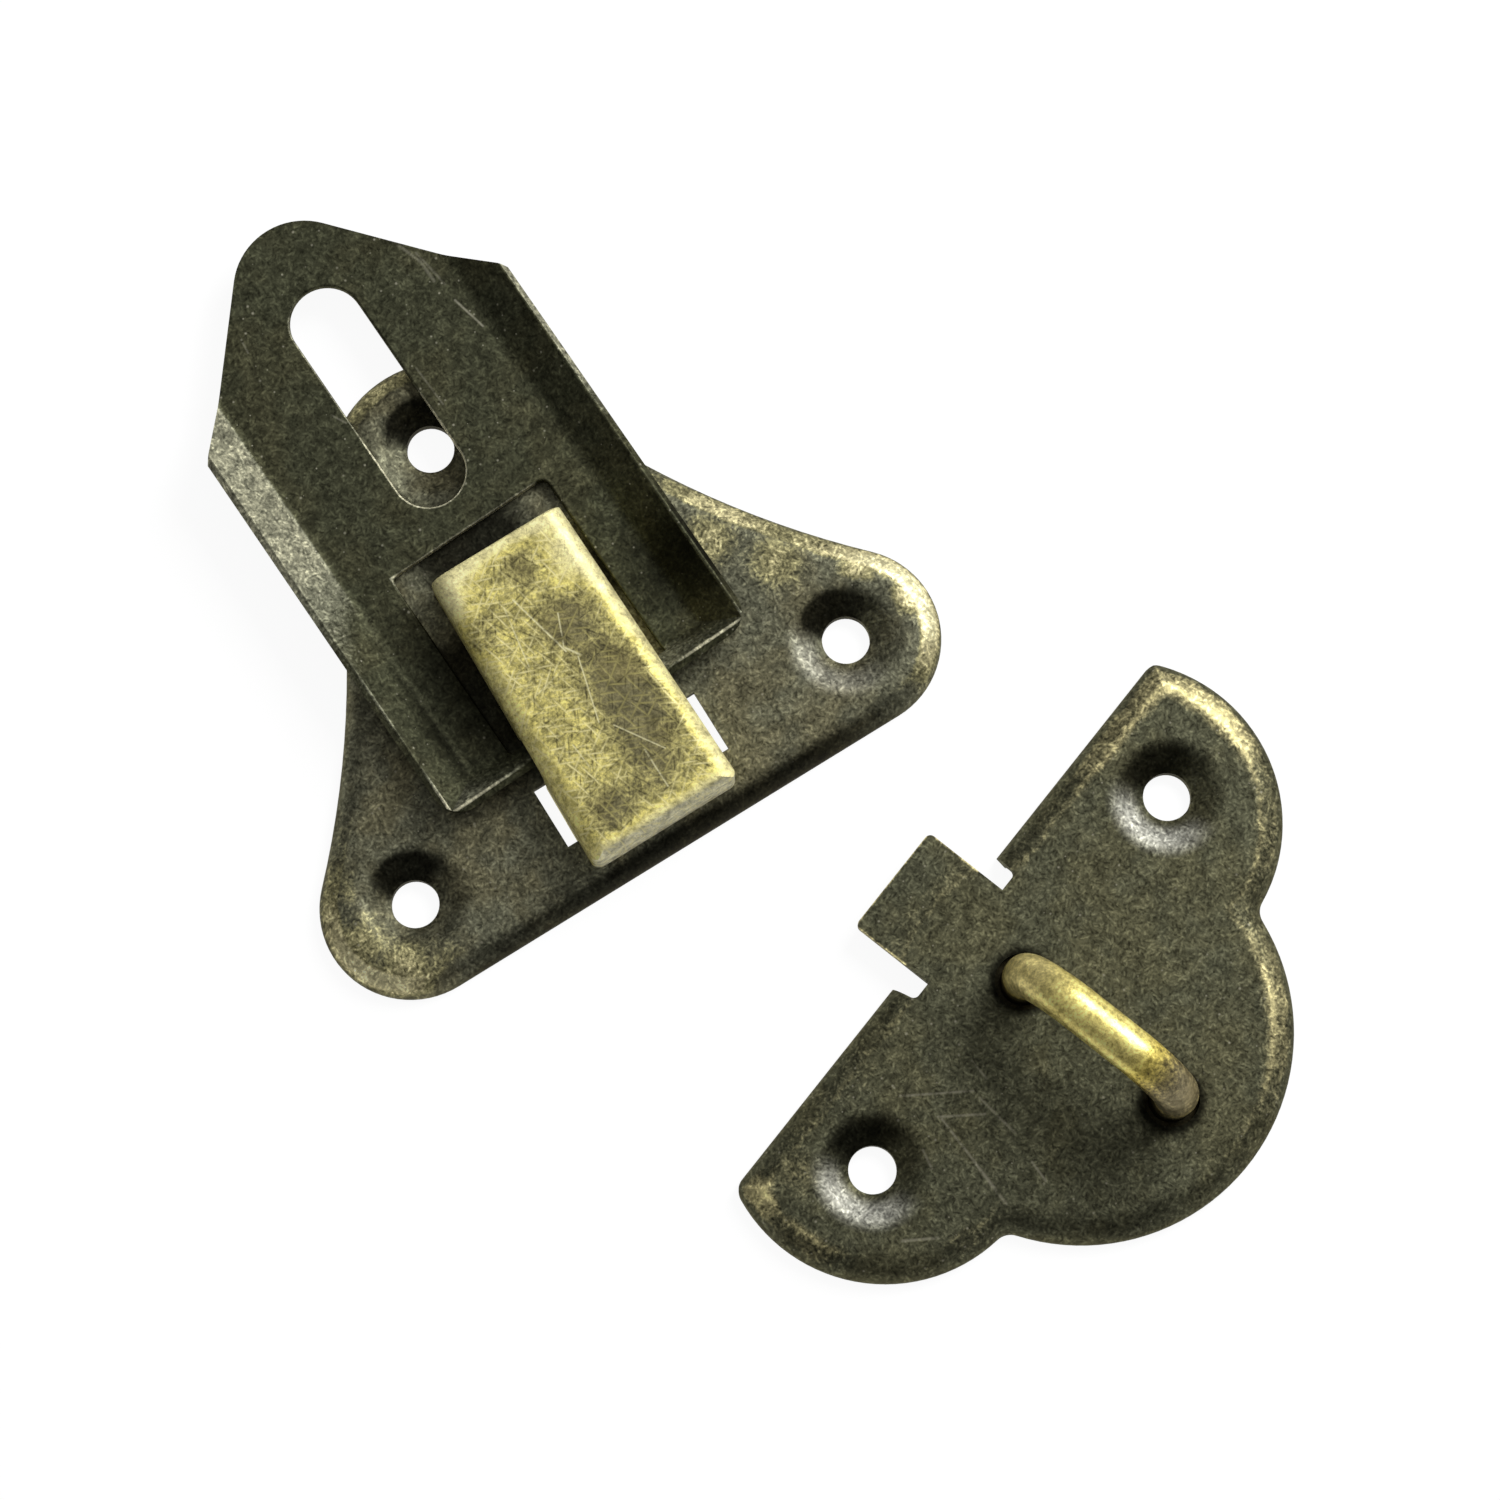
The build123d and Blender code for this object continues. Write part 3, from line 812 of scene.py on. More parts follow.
STAPLE_BRASS = Finish(
    name="staple_brass", patina=rgb(0.10, 0.088, 0.05), stain=rgb(0.16, 0.125, 0.055),
    olive=rgb(0.34, 0.27, 0.08), gold=rgb(0.70, 0.56, 0.13), bright=rgb(0.95, 0.82, 0.30),
    silver=rgb(0.42, 0.36, 0.22), metallic=(0.85, 0.7), roughness=(0.40, 0.38),
    fibre_light=0.3, fibre_dark=0.3, speck_strength=0.0, raggedness=0.8,
)
SPRING_STEEL = Finish(
    name="spring_steel", patina=rgb(0.20, 0.20, 0.19), stain=rgb(0.14, 0.14, 0.135),
    olive=rgb(0.30, 0.30, 0.29), gold=rgb(0.45, 0.45, 0.44), bright=rgb(0.60, 0.60, 0.58),
)


def mount(name: str) -> dict:
    """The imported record's mount of that name."""
    return next(m for m in frame["record"]["mounts"] if m["name"] == name)


def strike_seat() -> Seat:
    """Own axes of the strike half: origin between its screws, straight edge away from its rounded end."""
    screws, end = mount("strike_screws")["pos_m"], mount("strike_seat")["pos_m"]
    return Seat(screws[0], screws[1], math.atan2(end[1] - screws[1], end[0] - screws[0]) + math.pi / 2)


def lever_seat() -> Seat:
    """Own axes of the lever: origin on its hinge, x along the hinge's axis."""
    hinge = frame["joints"][0]
    return Seat(hinge["pos_m"][0], hinge["pos_m"][1], math.atan2(hinge["axis"][1], hinge["axis"][0]))


@dataclass
class Piece:
    """One piece of the latch, with its place, its finish and its marks. Sizes in millimetres, own axes."""

    node: str
    finish: Finish
    seat: Seat = Seat()
    even_wear: float = 0.0
    places: tuple[WearAndLightPatch, ...] = ()
    strokes: tuple[Stroke, ...] = ()

    def handling_and_light(self, surface: Surface) -> Feed:
        """How much each point has been handled evenly, with the patches that add wear and painted light or
        take them away.
        """
        return surface.wire.plus(self.even_wear, *(spot.mask(surface) for spot in self.places))

    def wear_and_light(self, surface: Surface) -> Feed:
        """How far the piece is worn and painted lighter or darker at each point; a plain piece only as its
        patches give.
        """
        return self.handling_and_light(surface)

    def bared_and_sheen(self, surface: Surface) -> Feed:
        """Where the grey metal's colour shows; nowhere on a plain piece."""
        return 0.0

    def dress(self, effects: Effects) -> None:
        """Gives the piece's node its finish.

        Args:
            effects: The shared effects.
        """
        material = bpy.data.materials.new(self.finish.name)
        material.use_nodes = True
        surface = self.seat.surface(Wiring(material.node_tree), effects)
        strokes = surface.wire.most([stroke.mask(surface) for stroke in self.strokes])
        self.finish.fill(surface, self.wear_and_light(surface), strokes, self.bared_and_sheen(surface))
        frame["nodes"][self.node].data.materials[0] = material
        # The worn places counted here include the patches of painted light and shade.
        log.info("%s: %s, %d worn places, %d long scratches",
                 self.node, self.finish.name, len(self.places), len(self.strokes))


@dataclass
class PressedPlate(Piece):
    """A plate pressed from sheet, with a rounded rim and dimpled screw seats."""

    rim_band: Band = (0.1, 0.7, 0.92, 1.0)
    rim_wear: float = 0.6
    ridge_band: Band = (0.90, 0.95, 0.98, 1.0)
    ridge_wear: float = 0.35
    flat_wear: float = 0.15
    wander: float = 0.06
    worn_level: Span = (0.0, 0.3)
    dimple_reach: Span = (3.3, 4.3)
    dimple_level: float = 1.2
    seat_inner: float = 2.1
    seat_outer: float = 3.4
    # Painted shade on the side of each screw seat whose wall is turned from the lamp, and a painted
    # highlight in the grey metal's colour on the side facing it, in the first seats only.
    seat_shade: float = 0.85
    seat_highlight: float = 0.6
    highlit_seats: int = 2
    lit_side: float = math.radians(-147.0)
    dark_side: float = math.radians(75.0)
    scuffs_and_highlights: tuple[WearAndLightPatch, ...] = ()

    def holes(self) -> tuple[Point, ...]:
        """Centres of the screw holes in the plate's own axes."""
        return ()

    def rim_measure(self, surface: Surface) -> Socket:
        """What the rim is found by: how far the surface faces up."""
        return surface.wire.parts(surface.normal)[2]

    def seat_sides(self, surface: Surface, turn: float, inner: float) -> list[Feed]:
        """Masks of one side of each screw seat.

        Args:
            surface: The plate's surface.
            turn: Direction of the side from the hole, against the row frame's x.
            inner: Radius at which the side begins.

        Returns:
            One mask to each hole.
        """
        angle = turn - self.seat.turn
        toward = (math.cos(angle), math.sin(angle), 0.0)
        return [
            surface.wire.effect(surface.effects.seat_side, Place=surface.place, Hole=(x, y, 0.0),
                                Toward=toward, Inner=inner, Outer=self.seat_outer)
            for x, y in self.holes()
        ]

    def wear_and_light(self, surface: Surface) -> Socket:
        """Wear of the rim, most along the ridge beside the flat, and painted shade on the side of each screw
        seat whose wall is turned from the lamp.

        Args:
            surface: The plate's surface.

        Returns:
            The wear, with the patches and scuffs that add wear and painted highlights, and the patches that
            take it away, in places as painted shade.
        """
        wire = surface.wire
        drift = wire.scaled(wire.cloud(surface.place, DRIFT), self.wander, MIDDLE)
        measure = wire.plus(self.rim_measure(surface), drift)
        shape: Feed = self.flat_wear
        bands = ((self.rim_band, self.rim_wear), (self.ridge_band, self.ridge_wear))
        for (rise, top, fall, end), strength in bands:
            band = wire.effect(surface.effects.band, Value=measure, Rise=rise, Top=top, Fall=fall, End=end)
            shape = wire.plus(shape, wire.scaled(band, strength))
        for x, y in self.holes():
            far = wire.distance(surface.place, (x, y, self.dimple_level))
            shape = wire.times(shape, wire.ease(far, *self.dimple_reach))
        shape = wire.times(shape, wire.ease(wire.parts(surface.normal)[2], *self.worn_level))
        handled_and_lit = self.handling_and_light(surface)
        lightened = wire.times(shape, wire.sum(Rule.MOST, handled_and_lit, 0.0))
        spared_and_shaded = wire.sum(Rule.LEAST, handled_and_lit, 0.0)
        darkening = wire.scaled(wire.most(self.seat_sides(surface, self.dark_side, 0.0)), self.seat_shade)
        scuffed_and_highlit = wire.most([spot.mask(surface) for spot in self.scuffs_and_highlights])
        return wire.less(wire.plus(wire.sum(Rule.MOST, lightened, scuffed_and_highlit), spared_and_shaded), darkening)

    def bared_and_sheen(self, surface: Surface) -> Feed:
        """Painted highlight in the grey metal's colour, on the side of each lit screw seat whose wall faces
        the lamp.
        """
        seats = self.seat_sides(surface, self.lit_side, self.seat_inner)[:self.highlit_seats]
        return surface.wire.scaled(surface.wire.most(seats), self.seat_highlight)


@dataclass
class BasePlate(PressedPlate):
    """Triangular plate of the toggle half, whose nose stays dull under the lever: only the right ear's screw
    seat gets a painted highlight.
    """

    ridge_wear: float = 0.05
    seat_shade: float = 0.8
    seat_highlight: float = 0.25
    highlit_seats: int = 1
    # Painted shade along the rim of the straight edge, between the ears.
    edge_ends: Span = (19.0, 14.0)
    edge_facing: Span = (-0.15, -0.7)
    edge_shade: float = 0.9

    def holes(self) -> tuple[Point, ...]:
        """Centres of the two ear holes and the nose hole."""
        half = mount("base_ear_screws")["dims"]["spacing_x_mm"] / 2
        return ((half, 0.0), (-half, 0.0), (0.0, mount("base_nose_screw")["pos_m"][1] / MM))

    def wear_and_light(self, surface: Surface) -> Socket:
        """Wear of the rim, with painted shade along the rim of the straight edge between the ears.

        Args:
            surface: The plate's surface.

        Returns:
            The wear.
        """
        wire = surface.wire
        between = wire.ease(wire.size(wire.parts(surface.place)[0]), *self.edge_ends, 0.0, self.edge_shade)
        edge = wire.times(wire.ease(wire.parts(surface.normal)[1], *self.edge_facing), between)
        return wire.less(super().wear_and_light(surface), edge)


@dataclass
class StrikePlate(PressedPlate):
    """Lobed plate of the strike half, with a flat tongue."""

    rim_band: Band = (0.1, 0.6, 1.4, 1.9)
    ridge_band: Band = (1.1, 1.6, 1.8, 2.4)
    wander: float = 0.8
    tongue_half: float = 3.7
    tongue_near: float = 5.95
    tongue_far: float = 10.15
    tongue_fade: float = 0.4
    tongue_line: float = 0.16
    tongue_wear: float = 0.55
    neck: float = 5.0
    belly: Point = (0.0, -4.65)
    belly_radius: float = 13.3
    lobe: Point = (11.8, 1.4)
    lobe_radius: float = 10.2

    def holes(self) -> tuple[Point, ...]:
        """Centres of the two screw holes."""
        half = mount("strike_screws")["dims"]["pcd_mm"] / 2
        return ((half, 0.0), (-half, 0.0))

    def rim_measure(self, surface: Surface) -> Socket:
        """What the rim is found by: the distance inwards from the lobed outline."""
        return surface.wire.effect(
            surface.effects.lobed_edge, Place=surface.place, Belly=(*self.belly, 0.0),
            BellyRadius=self.belly_radius, Lobe=(*self.lobe, 0.0), LobeRadius=self.lobe_radius,
            Edge=self.tongue_near, Neck=self.neck,
        )

    def wear_and_light(self, surface: Surface) -> Socket:
        """Wear of the rim, and of the edges of the tongue.

        Args:
            surface: The plate's surface.

        Returns:
            The wear.
        """
        wire = surface.wire
        edge = wire.effect(surface.effects.box_edge, Place=surface.place, Near=0.0, Far=self.tongue_far,
                           Half=self.tongue_half)
        y = wire.parts(surface.place)[1]
        beyond = wire.ease(y, self.tongue_near, self.tongue_near + self.tongue_fade)
        line = wire.times(wire.ease(edge, self.tongue_line, 0.0), beyond)
        return wire.plus(super().wear_and_light(surface), wire.scaled(line, self.tongue_wear))


@dataclass
class Lever(Piece):
    """Tray-shaped lever: its cut edges are worn bright, the rest is dark."""

    slot_near: float = 19.0
    slot_far: float = 30.5
    slot_half: float = 2.325
    slot_worn: Span = (25.0, 22.0)
    window_half: float = 5.75
    window_far: float = 14.6
    window_near: float = 1.2
    window_right: Span = (5.45, 4.75)
    window_rear: Span = (10.1, 12.6)
    window_wear: float = 0.7
    edge_line: float = 0.18
    edge_wear: float = 0.9
    crown: Span = (4.55, 4.63)
    crown_places: tuple[WearAndLightPatch, ...] = patches_at(
        4.6, (11.0, 6.0, 9.0, 1.0), (9.0, -0.2, 6.0, 0.9), (-9.0, -0.2, 7.0, 0.8), (-11.0, 8.0, 8.0, 0.4),
    )
    # Painted highlight on the inner face of the left side, which faces the lamp, growing towards the far
    # end.
    side_lean: Span = (0.15, 0.55)
    side_level: Span = (0.3, 0.6)
    side_run: Span = (4.0, 19.0)
    side_highlight: float = 0.45
    cut_lean: Span = (-0.2, -0.45)
    cut_height: Span = (4.35, 4.55)
    cut_left: Span = (-5.0, -8.0)
    cut_level: Span = (0.1, 0.3)
    # Painted highlight on the lip.
    lip_ahead: Span = (0.3, 0.6)
    lip_level: Span = (0.2, 0.4)
    lip_highlight: float = 0.42
    # Painted shade at the foot of the left side, in the crease, strongest near the hinge.
    foot_height: Span = (4.35, 2.9)
    foot_darkening: float = 0.45

    def edge_lines(self, surface: Surface) -> Socket:
        """Wear of the cut edges: the slot's lower half, the window's rear and the crowns of the sides.

        Args:
            surface: The lever's surface.

        Returns:
            The wear.
        """
        wire = surface.wire
        x, y, z = wire.parts(surface.place)
        slot = wire.effect(surface.effects.slot_edge, Place=surface.place, Near=self.slot_near,
                           Far=self.slot_far, Half=self.slot_half)
        window = wire.effect(surface.effects.box_edge, Place=surface.place, Near=self.window_near,
                             Far=self.window_far, Half=self.window_half)
        crowns = wire.most([spot.mask(surface) for spot in self.crown_places])
        lines = wire.most([
            wire.times(wire.ease(slot, self.edge_line, 0.0), wire.ease(y, *self.slot_worn)),
            wire.times(wire.ease(window, self.edge_line, 0.0), wire.ease(y, *self.window_rear),
                       wire.ease(x, *self.window_right, 0.0, self.window_wear)),
            wire.times(wire.ease(z, *self.crown), crowns),
        ])
        return wire.scaled(lines, self.edge_wear)

    def wear_and_light(self, surface: Surface) -> Socket:
        """Wear of the cut edges, painted highlight on the left side and the lip, and painted shade in the
        crease at the foot of the left side.

        Args:
            surface: The lever's surface.

        Returns:
            The wear and painted light, with what the patches add to it.
        """
        wire = surface.wire
        x, y, z = wire.parts(surface.place)
        lean, ahead, level = wire.parts(surface.normal)
        along = wire.ease(y, *self.side_run, 0.0, self.side_highlight)
        side = wire.times(wire.ease(lean, *self.side_lean), wire.ease(level, *self.side_level))
        rim = wire.sum(Rule.MOST, wire.ease(lean, *self.cut_lean), wire.ease(z, *self.cut_height))
        cut = wire.times(rim, wire.ease(x, *self.cut_left), wire.ease(level, *self.cut_level), along)
        lip = wire.times(wire.ease(ahead, *self.lip_ahead), wire.ease(level, *self.lip_level))
        faces = [wire.times(side, along), cut, wire.scaled(lip, self.lip_highlight)]
        lightened = wire.most([self.edge_lines(surface), *faces])
        near = wire.ease(y, *reversed(self.side_run), 0.0, self.foot_darkening)
        foot = wire.times(wire.ease(z, *self.foot_height), near, side)
        return wire.plus(wire.less(lightened, foot), self.handling_and_light(surface))


@dataclass
class BridgeCap(Piece):
    """Bright channel over the hinge: rubbed at its borders and dull in the middle of its roof, with painted
    shade on its left bend and a painted reflection of the floor on its front wall.
    """

    front: float = -4.3
    rear: float = 15.9
    halves: Span = (5.2, 4.65)
    border: Span = (1.5, 0.2)
    border_wear: float = 0.38
    # Painted shade on the bend that faces left, away from the lamp, and a painted reflection of the floor on
    # the front wall.
    left_facing: Span = (-0.1, -0.8)
    left_shade: float = 0.18
    front_facing: Span = (-0.3, -0.7)
    front_reflection: float = 0.6

    def wear_and_light(self, surface: Surface) -> Socket:
        """Wear that grows towards the borders of the roof, over what handling has left in its middle, less
        painted shade on the left bend.

        Args:
            surface: The cap's surface.

        Returns:
            The wear.
        """
        wire = surface.wire
        x, y, _ = wire.parts(surface.place)
        side = wire.less(wire.ease(y, self.front, self.rear, *self.halves), wire.size(x))
        ends = wire.sum(Rule.LEAST, wire.less(y, self.front), wire.less(self.rear, y))
        inward = wire.sum(Rule.LEAST, side, ends)
        lightened = wire.scaled(wire.ease(inward, *self.border), self.border_wear)
        shaded = wire.ease(wire.parts(surface.normal)[0], *self.left_facing, 0.0, self.left_shade)
        return wire.less(wire.plus(lightened, self.handling_and_light(surface)), shaded)

    def bared_and_sheen(self, surface: Surface) -> Feed:
        """Painted reflection of the white floor on the front wall, in the grey metal's colour."""
        ahead = surface.wire.parts(surface.normal)[1]
        return surface.wire.ease(ahead, *self.front_facing, 0.0, self.front_reflection)


@dataclass
class Staple(Piece):
    """Bent wire, rubbed on its crown and dark at its feet."""

    rubbed_height: Span = (2.6, 6.5)
    foot_height: Span = (4.6, 2.6)
    foot_darkening: float = 0.8
    middle: float = -5.9
    bend_reach: Span = (2.8, 5.8)
    bend_height: Span = (3.6, 6.5)
    bend_bared: float = 0.45

    def wear_and_light(self, surface: Surface) -> Socket:
        """Wear that grows from the darkened feet to the crown.

        Args:
            surface: The staple's surface.

        Returns:
            The wear.
        """
        wire = surface.wire
        z = wire.parts(surface.place)[2]
        worn = wire.times(wire.ease(z, *self.rubbed_height), self.handling_and_light(surface))
        return wire.less(worn, wire.ease(z, *self.foot_height, 0.0, self.foot_darkening))

    def bared_and_sheen(self, surface: Surface) -> Feed:
        """The two bends, where the brass has worn off.

        Args:
            surface: The staple's surface.

        Returns:
            Mask of the bends.
        """
        wire = surface.wire
        _, y, z = wire.parts(surface.place)
        bends = wire.ease(wire.size(wire.less(y, self.middle)), *self.bend_reach, 0.0, self.bend_bared)
        return wire.times(bends, wire.ease(z, *self.bend_height))


@dataclass
class Half:
    """One half of the latch, whose fields are its pieces."""

    def dress(self, effects: Effects) -> None:
        """Dresses each piece of the half."""
        for piece in fields(self):
            getattr(self, piece.name).dress(effects)


@dataclass
class LatchHalf(Half):
    """The half that is screwed to the box: plate, cap, spring and lever."""

    base_plate: BasePlate = field(default_factory=lambda: BasePlate(
        "base_plate", PLATE_BRONZE, even_wear=0.3,
        # At z 1.2 the patches at the right ear and flank add wear and painted highlight where the rim faces
        # the lamp, and the spared ones along the bottom edge, on the left flank and about the nose are
        # painted shade; at z 2.0 the spared ones are painted shadow under the lever and cap.
        places=patches_at(
            1.2, (21.5, -1.0, 6.5, 1.0), (18.6, 3.5, 6.0, 0.7), (16.0, -5.0, 6.0, 0.15),
            (12.6, 10.0, 8.0, 0.55), (-20.0, -2.0, 9.0, 0.8), (-1.0, 29.5, 6.0, 0.35),
            (0.0, -6.0, 10.0, -0.6), (9.5, -5.6, 5.0, -0.4), (-13.0, 11.0, 7.0, -0.4),
            (1.0, 24.0, 5.5, -0.5),
        ) + patches_at(
            2.0, (-6.0, 8.5, 7.5, -2.4), (-7.5, 0.5, 5.0, -0.5), (6.0, 12.0, 6.0, -1.4),
            (-1.0, 17.0, 6.5, -2.0),
        ),
        # Scuffs on the right ear and flank are wear and painted highlight where the rim faces the lamp;
        # those on the left ear are wear.
        scuffs_and_highlights=patches_at(
            2.0, (18.6, 3.3, 2.4, 0.6), (20.6, 0.2, 2.4, 0.75), (14.6, 6.4, 4.0, 0.5),
            (11.8, 9.8, 4.0, 0.5),
        ) + patches_at(
            1.8, (-18.4, -3.3, 4.2, 0.55), (-16.0, -4.4, 3.6, 0.4), (-19.0, 3.0, 3.6, 0.35),
        ) + patches_at(1.6, (-20.0, -0.6, 4.2, 0.5)),
    ))
    bridge_cap: BridgeCap = field(default_factory=lambda: BridgeCap(
        "bridge_cap", CAP_BRASS, even_wear=0.54,
        # The patch at the right bend, at x 4.2, is a painted highlight; the others are handling.
        places=patches_at(
            6.2, (0.65, 13.6, 2.4, -0.25), (1.2, 9.2, 3.2, -0.4), (2.0, 5.0, 3.6, -0.42),
            (2.0, 1.5, 3.8, -0.4), (-2.5, -2.0, 2.6, -0.35), (-4.2, 11.6, 2.6, -0.2),
            (-4.3, 15.0, 3.5, 0.3), (1.0, -1.5, 3.0, -0.25), (4.2, 13.0, 4.0, 0.4),
        ),
        strokes=scored_by(
            ((-0.89, 12.2), (0.21, 7.77), 0.10, 0.8), ((1.03, 10.05), (0.21, 8.0), 0.08, 0.7),
            ((0.68, 7.12), (-0.38, 2.94), 0.08, 0.7), ((0.31, 2.3), (2.22, -0.56), 0.08, 0.6),
            ((1.11, 0.0), (1.14, -2.66), 0.09, 0.6), ((-2.48, 2.57), (-2.32, 0.94), 0.08, 0.6),
            ((-2.65, 6.4), (-0.95, 6.81), 0.08, 0.5), ((0.31, 7.93), (0.94, 6.96), 0.12, 0.8),
            ((-1.62, 12.07), (-2.25, 7.98), 0.08, 0.6),
        ),
    ))
    leaf_spring: Piece = field(default_factory=lambda: Piece("leaf_spring", SPRING_STEEL, even_wear=0.3))
    lever: Lever = field(default_factory=lambda: Lever(
        "lever", LEVER_BRONZE, seat=lever_seat(), even_wear=0.05,
        # The spared patches on the floor beside the cap are painted shadow, and those on the right side,
        # turned from the lamp, painted shade.
        places=patches_at(
            2.9, (6.6, 31.0, 3.0, 0.15), (0.0, 36.0, 4.0, 0.1), (-6.0, 4.5, 6.5, -0.8),
            (-6.0, 10.0, 5.5, -0.6),
        ) + patches_at(3.8, (10.4, 5.5, 7.5, -1.0), (10.4, 13.0, 6.0, -0.25)),
        strokes=scored_by(
            ((7.45, 27.13), (7.97, 24.75), 0.12, 0.6), ((6.27, 32.7), (7.05, 30.37), 0.18, 0.25),
            ((7.05, 30.37), (7.05, 28.89), 0.18, 0.25), ((7.12, 31.03), (7.51, 28.34), 0.14, 0.25),
            ((-3.05, 25.38), (-2.56, 24.43), 0.11, 0.3), ((-5.06, 32.33), (-5.15, 31.62), 0.11, 0.3),
            ((3.01, 24.88), (3.12, 22.02), 0.11, 0.25),
        ),
    ))

@dataclass
class StrikeHalf(Half):
    """The half that is screwed to the lid: plate and staple."""

    strike_plate: StrikePlate = field(default_factory=lambda: StrikePlate(
        "strike_plate", STRIKE_BRONZE, seat=strike_seat(), even_wear=0.3,
        # Patches on the right of the rim add wear and painted highlight where it faces the lamp, and the
        # spared ones at the lower left are painted shade; the two at z 2.0 are painted shadow in the holes
        # about the staple's feet.
        places=patches_at(
            1.2, (20.3, 4.4, 3.5, 0.25), (16.9, -6.2, 6.0, 0.15), (20.2, 0.5, 5.5, 0.7),
            (8.4, -13.5, 8.0, 0.35), (16.0, 5.0, 6.0, 0.3), (-20.4, 4.3, 2.0, 0.8), (-19.0, -1.0, 6.0, 0.3),
            (12.8, 5.0, 4.0, 0.05), (-7.7, -14.5, 9.0, -0.65), (-5.0, -7.0, 9.0, -0.5),
            (-19.2, -4.5, 5.0, -0.6),
        ) + patches_at(2.0, (0.0, 0.0, 3.0, -3.5), (0.0, -11.8, 3.0, -3.5)),
        scuffs_and_highlights=patches_at(1.8, (-17.8, 3.6, 3.4, 0.35)) + patches_at(2.0, (-11.0, 4.6, 3.0, 0.25)),
        strokes=scored_by(
            ((-10.26, 1.46), (-7.23, -1.86), 0.14, 0.5), ((-9.82, -1.16), (-7.88, -3.31), 0.14, 0.5),
            ((-9.77, -1.43), (-10.73, -5.15), 0.14, 0.55), ((-10.73, -5.15), (-11.42, -7.72), 0.18, 0.55),
            ((-7.3, -2.46), (-7.65, -5.47), 0.14, 0.4), ((-8.41, -7.38), (-8.79, -8.77), 0.13, 0.5),
            ((-11.99, -1.69), (-12.56, -2.84), 0.13, 0.5), ((-5.8, -0.58), (-6.11, -2.08), 0.13, 0.4),
            ((-17.24, -4.03), (-15.65, -5.74), 0.16, 0.5),
        ),
    ))
    staple: Staple = field(default_factory=lambda: Staple(
        "staple", STAPLE_BRASS, seat=strike_seat(), even_wear=0.85,
        places=patches_at(7.5, (0.0, -11.5, 5.0, -0.8)),
    ))

@dataclass(frozen=True)
class Lamp:
    """A soft square lamp, placed to the right of the aim and up from it as the photograph shows it."""

    name: str
    right: float
    rise: float
    height: float
    side: float
    watts: float


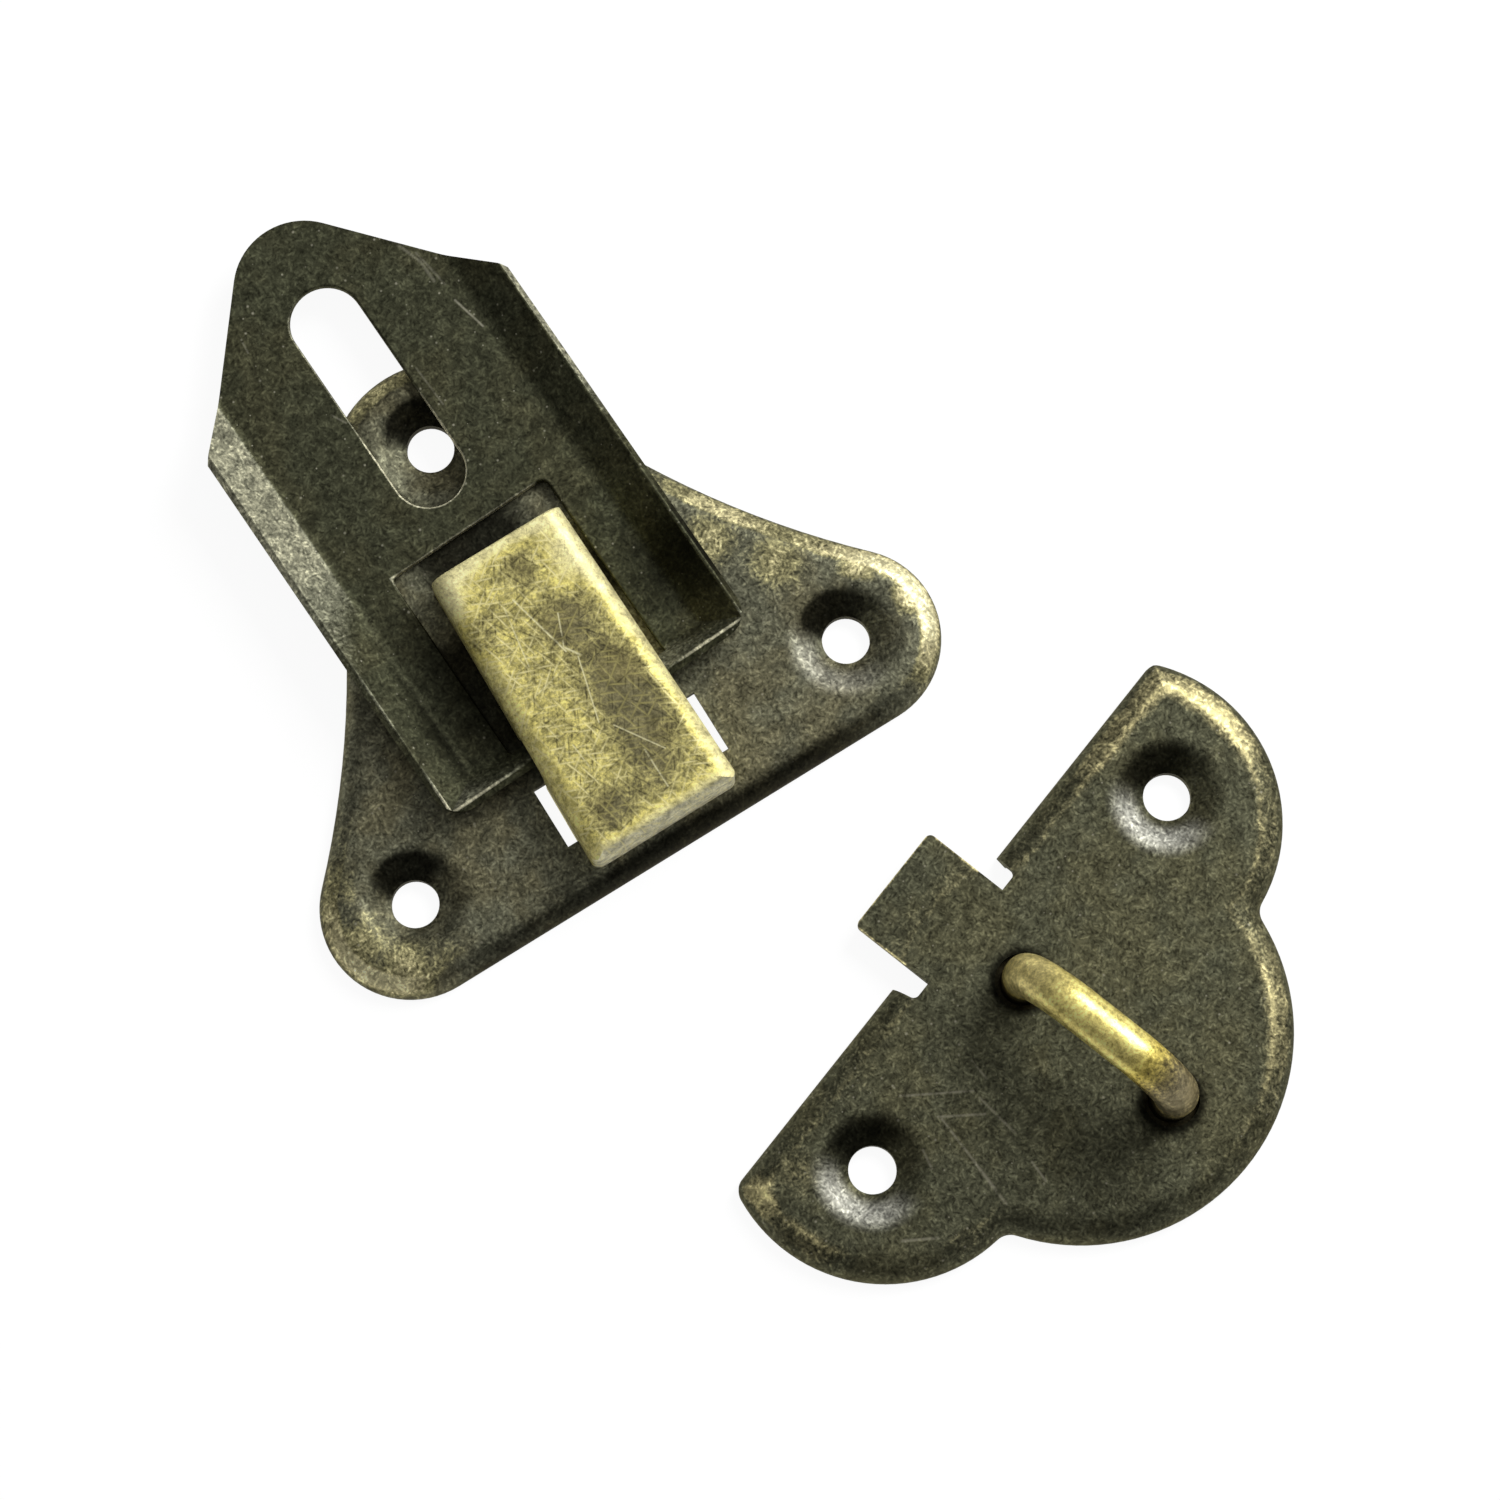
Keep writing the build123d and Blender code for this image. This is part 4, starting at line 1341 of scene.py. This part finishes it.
@dataclass(frozen=True)
class Studio:
    """Camera, floor and lamps, placed by the photograph. Lengths in millimetres."""

    photo_side: float = 1500.0
    pixels_to_mm: float = 16.0
    origin_pixel: Point = (631.85, 773.9)
    photo_turn: float = math.radians(31.83)
    tilt: float = math.radians(8.5)
    lens: float = 120.0
    sensor: float = 36.0
    nearest_sight: float = 10.0
    floor_side: float = 3000.0
    floor_drop: float = 0.02
    floor_glow: float = 0.93
    floor_pale: float = 0.12
    floor_matt: float = 0.8
    room_light: float = 0.16
    lamps: tuple[Lamp, ...] = (
        Lamp("key", 215.0, 210.0, 290.0, 220.0, 1.5),
        Lamp("top", 0.0, 120.0, 520.0, 520.0, 0.3),
    )

    def across(self) -> Vector:
        """Direction in the row frame that runs to the right of the photograph."""
        return Vector((math.cos(self.photo_turn), -math.sin(self.photo_turn), 0.0))

    def up(self) -> Vector:
        """Direction in the row frame that runs up the photograph."""
        return Vector((math.sin(self.photo_turn), math.cos(self.photo_turn), 0.0))

    def aim(self) -> Vector:
        """Point of the floor at the middle of the photograph.

        Returns:
            The point, in metres.
        """
        right = (self.photo_side / 2 - self.origin_pixel[0]) / self.pixels_to_mm
        rise = (self.origin_pixel[1] - self.photo_side / 2) / self.pixels_to_mm
        return (self.across() * right + self.up() * rise) * MM

    def add_camera(self) -> None:
        """Sets the camera over the floor, leaning back towards the foot of the photograph."""
        data = bpy.data.cameras.new("camera")
        data.lens, data.sensor_width = self.lens, self.sensor
        data.clip_start = self.nearest_sight * MM
        back = Vector((0, 0, math.cos(self.tilt))) - self.up() * math.sin(self.tilt)
        top = self.up() * math.cos(self.tilt) + Vector((0, 0, math.sin(self.tilt)))
        distance = self.photo_side / self.pixels_to_mm * self.lens / self.sensor * MM
        camera = bpy.data.objects.new("camera", data)
        turn = Matrix((self.across(), top, back)).transposed()
        camera.matrix_world = Matrix.Translation(self.aim() + back * distance) @ turn.to_4x4()
        bpy.context.scene.collection.objects.link(camera)
        bpy.context.scene.camera = camera

    def add_floor(self) -> None:
        """Lays the white floor."""
        half = self.floor_side / 2 * MM
        drop = -self.floor_drop * MM
        corners = [(-half, -half, drop), (half, -half, drop), (half, half, drop), (-half, half, drop)]
        mesh = bpy.data.meshes.new("floor")
        mesh.from_pydata(corners, [], [(0, 1, 2, 3)])
        floor = bpy.data.objects.new("floor", mesh)
        bpy.context.scene.collection.objects.link(floor)
        mesh.materials.append(self.floor_material())

    def floor_material(self) -> bpy.types.Material:
        """White that lightens to pure white in the camera's sight and keeps a soft shadow.

        Returns:
            The material.
        """
        material = bpy.data.materials.new("floor_white")
        material.use_nodes = True
        wire = Wiring(material.node_tree)
        wire.tree.nodes.clear()
        path = wire.node("ShaderNodeLightPath")
        seen = wire.most([path.outputs[f"Is {ray} Ray"] for ray in ("Camera", "Glossy", "Transmission")])
        matt = wire.fill(wire.node("ShaderNodeBsdfDiffuse"), Color=grey(self.floor_matt))
        pale = wire.fill(wire.node("ShaderNodeBsdfDiffuse"), Color=grey(self.floor_pale))
        glow = wire.fill(wire.node("ShaderNodeEmission"), Strength=self.floor_glow)
        lit = wire.node("ShaderNodeAddShader")
        wire.feed(lit.inputs[0], pale.outputs[0])
        wire.feed(lit.inputs[1], glow.outputs[0])
        either = wire.node("ShaderNodeMixShader")
        wire.feed(either.inputs[0], seen)
        wire.feed(either.inputs[1], matt.outputs[0])
        wire.feed(either.inputs[2], lit.outputs[0])
        wire.feed(wire.node("ShaderNodeOutputMaterial").inputs["Surface"], either.outputs[0])
        return material

    def add_lamp(self, lamp: Lamp) -> None:
        """Hangs a lamp that faces the object.

        Args:
            lamp: The lamp.
        """
        data = bpy.data.lights.new(lamp.name, "AREA")
        data.shape, data.size, data.energy = "SQUARE", lamp.side * MM, lamp.watts
        hung = bpy.data.objects.new(lamp.name, data)
        offset = self.across() * lamp.right + self.up() * lamp.rise + Vector((0, 0, lamp.height))
        hung.location = self.aim() + offset * MM
        hung.rotation_mode = "QUATERNION"
        hung.rotation_quaternion = offset.to_track_quat("Z", "Y")
        bpy.context.scene.collection.objects.link(hung)
        log.info("%s lamp: %.1f W", lamp.name, lamp.watts)

    def add_world(self) -> None:
        """Fills the room with an even light."""
        world = bpy.data.worlds.new("room")
        world.use_nodes = True
        back = next(n for n in world.node_tree.nodes if n.type == "BACKGROUND")
        back.inputs["Color"].default_value = grey(1.0)
        back.inputs["Strength"].default_value = self.room_light
        bpy.context.scene.world = world

    def build(self) -> None:
        """Sets up camera, floor and lamps."""
        self.add_camera()
        self.add_floor()
        self.add_world()
        for lamp in self.lamps:
            self.add_lamp(lamp)
        bpy.context.scene.view_settings.view_transform = "Standard"
        log.info("studio: camera, floor, room light and %d lamps", len(self.lamps))


def main() -> None:
    """Dresses every piece and sets up the studio."""
    logging.basicConfig(level=logging.INFO, format="%(message)s")
    effects = Effects()
    LatchHalf().dress(effects)
    StrikeHalf().dress(effects)
    Studio().build()


if __name__ == "__main__":
    main()
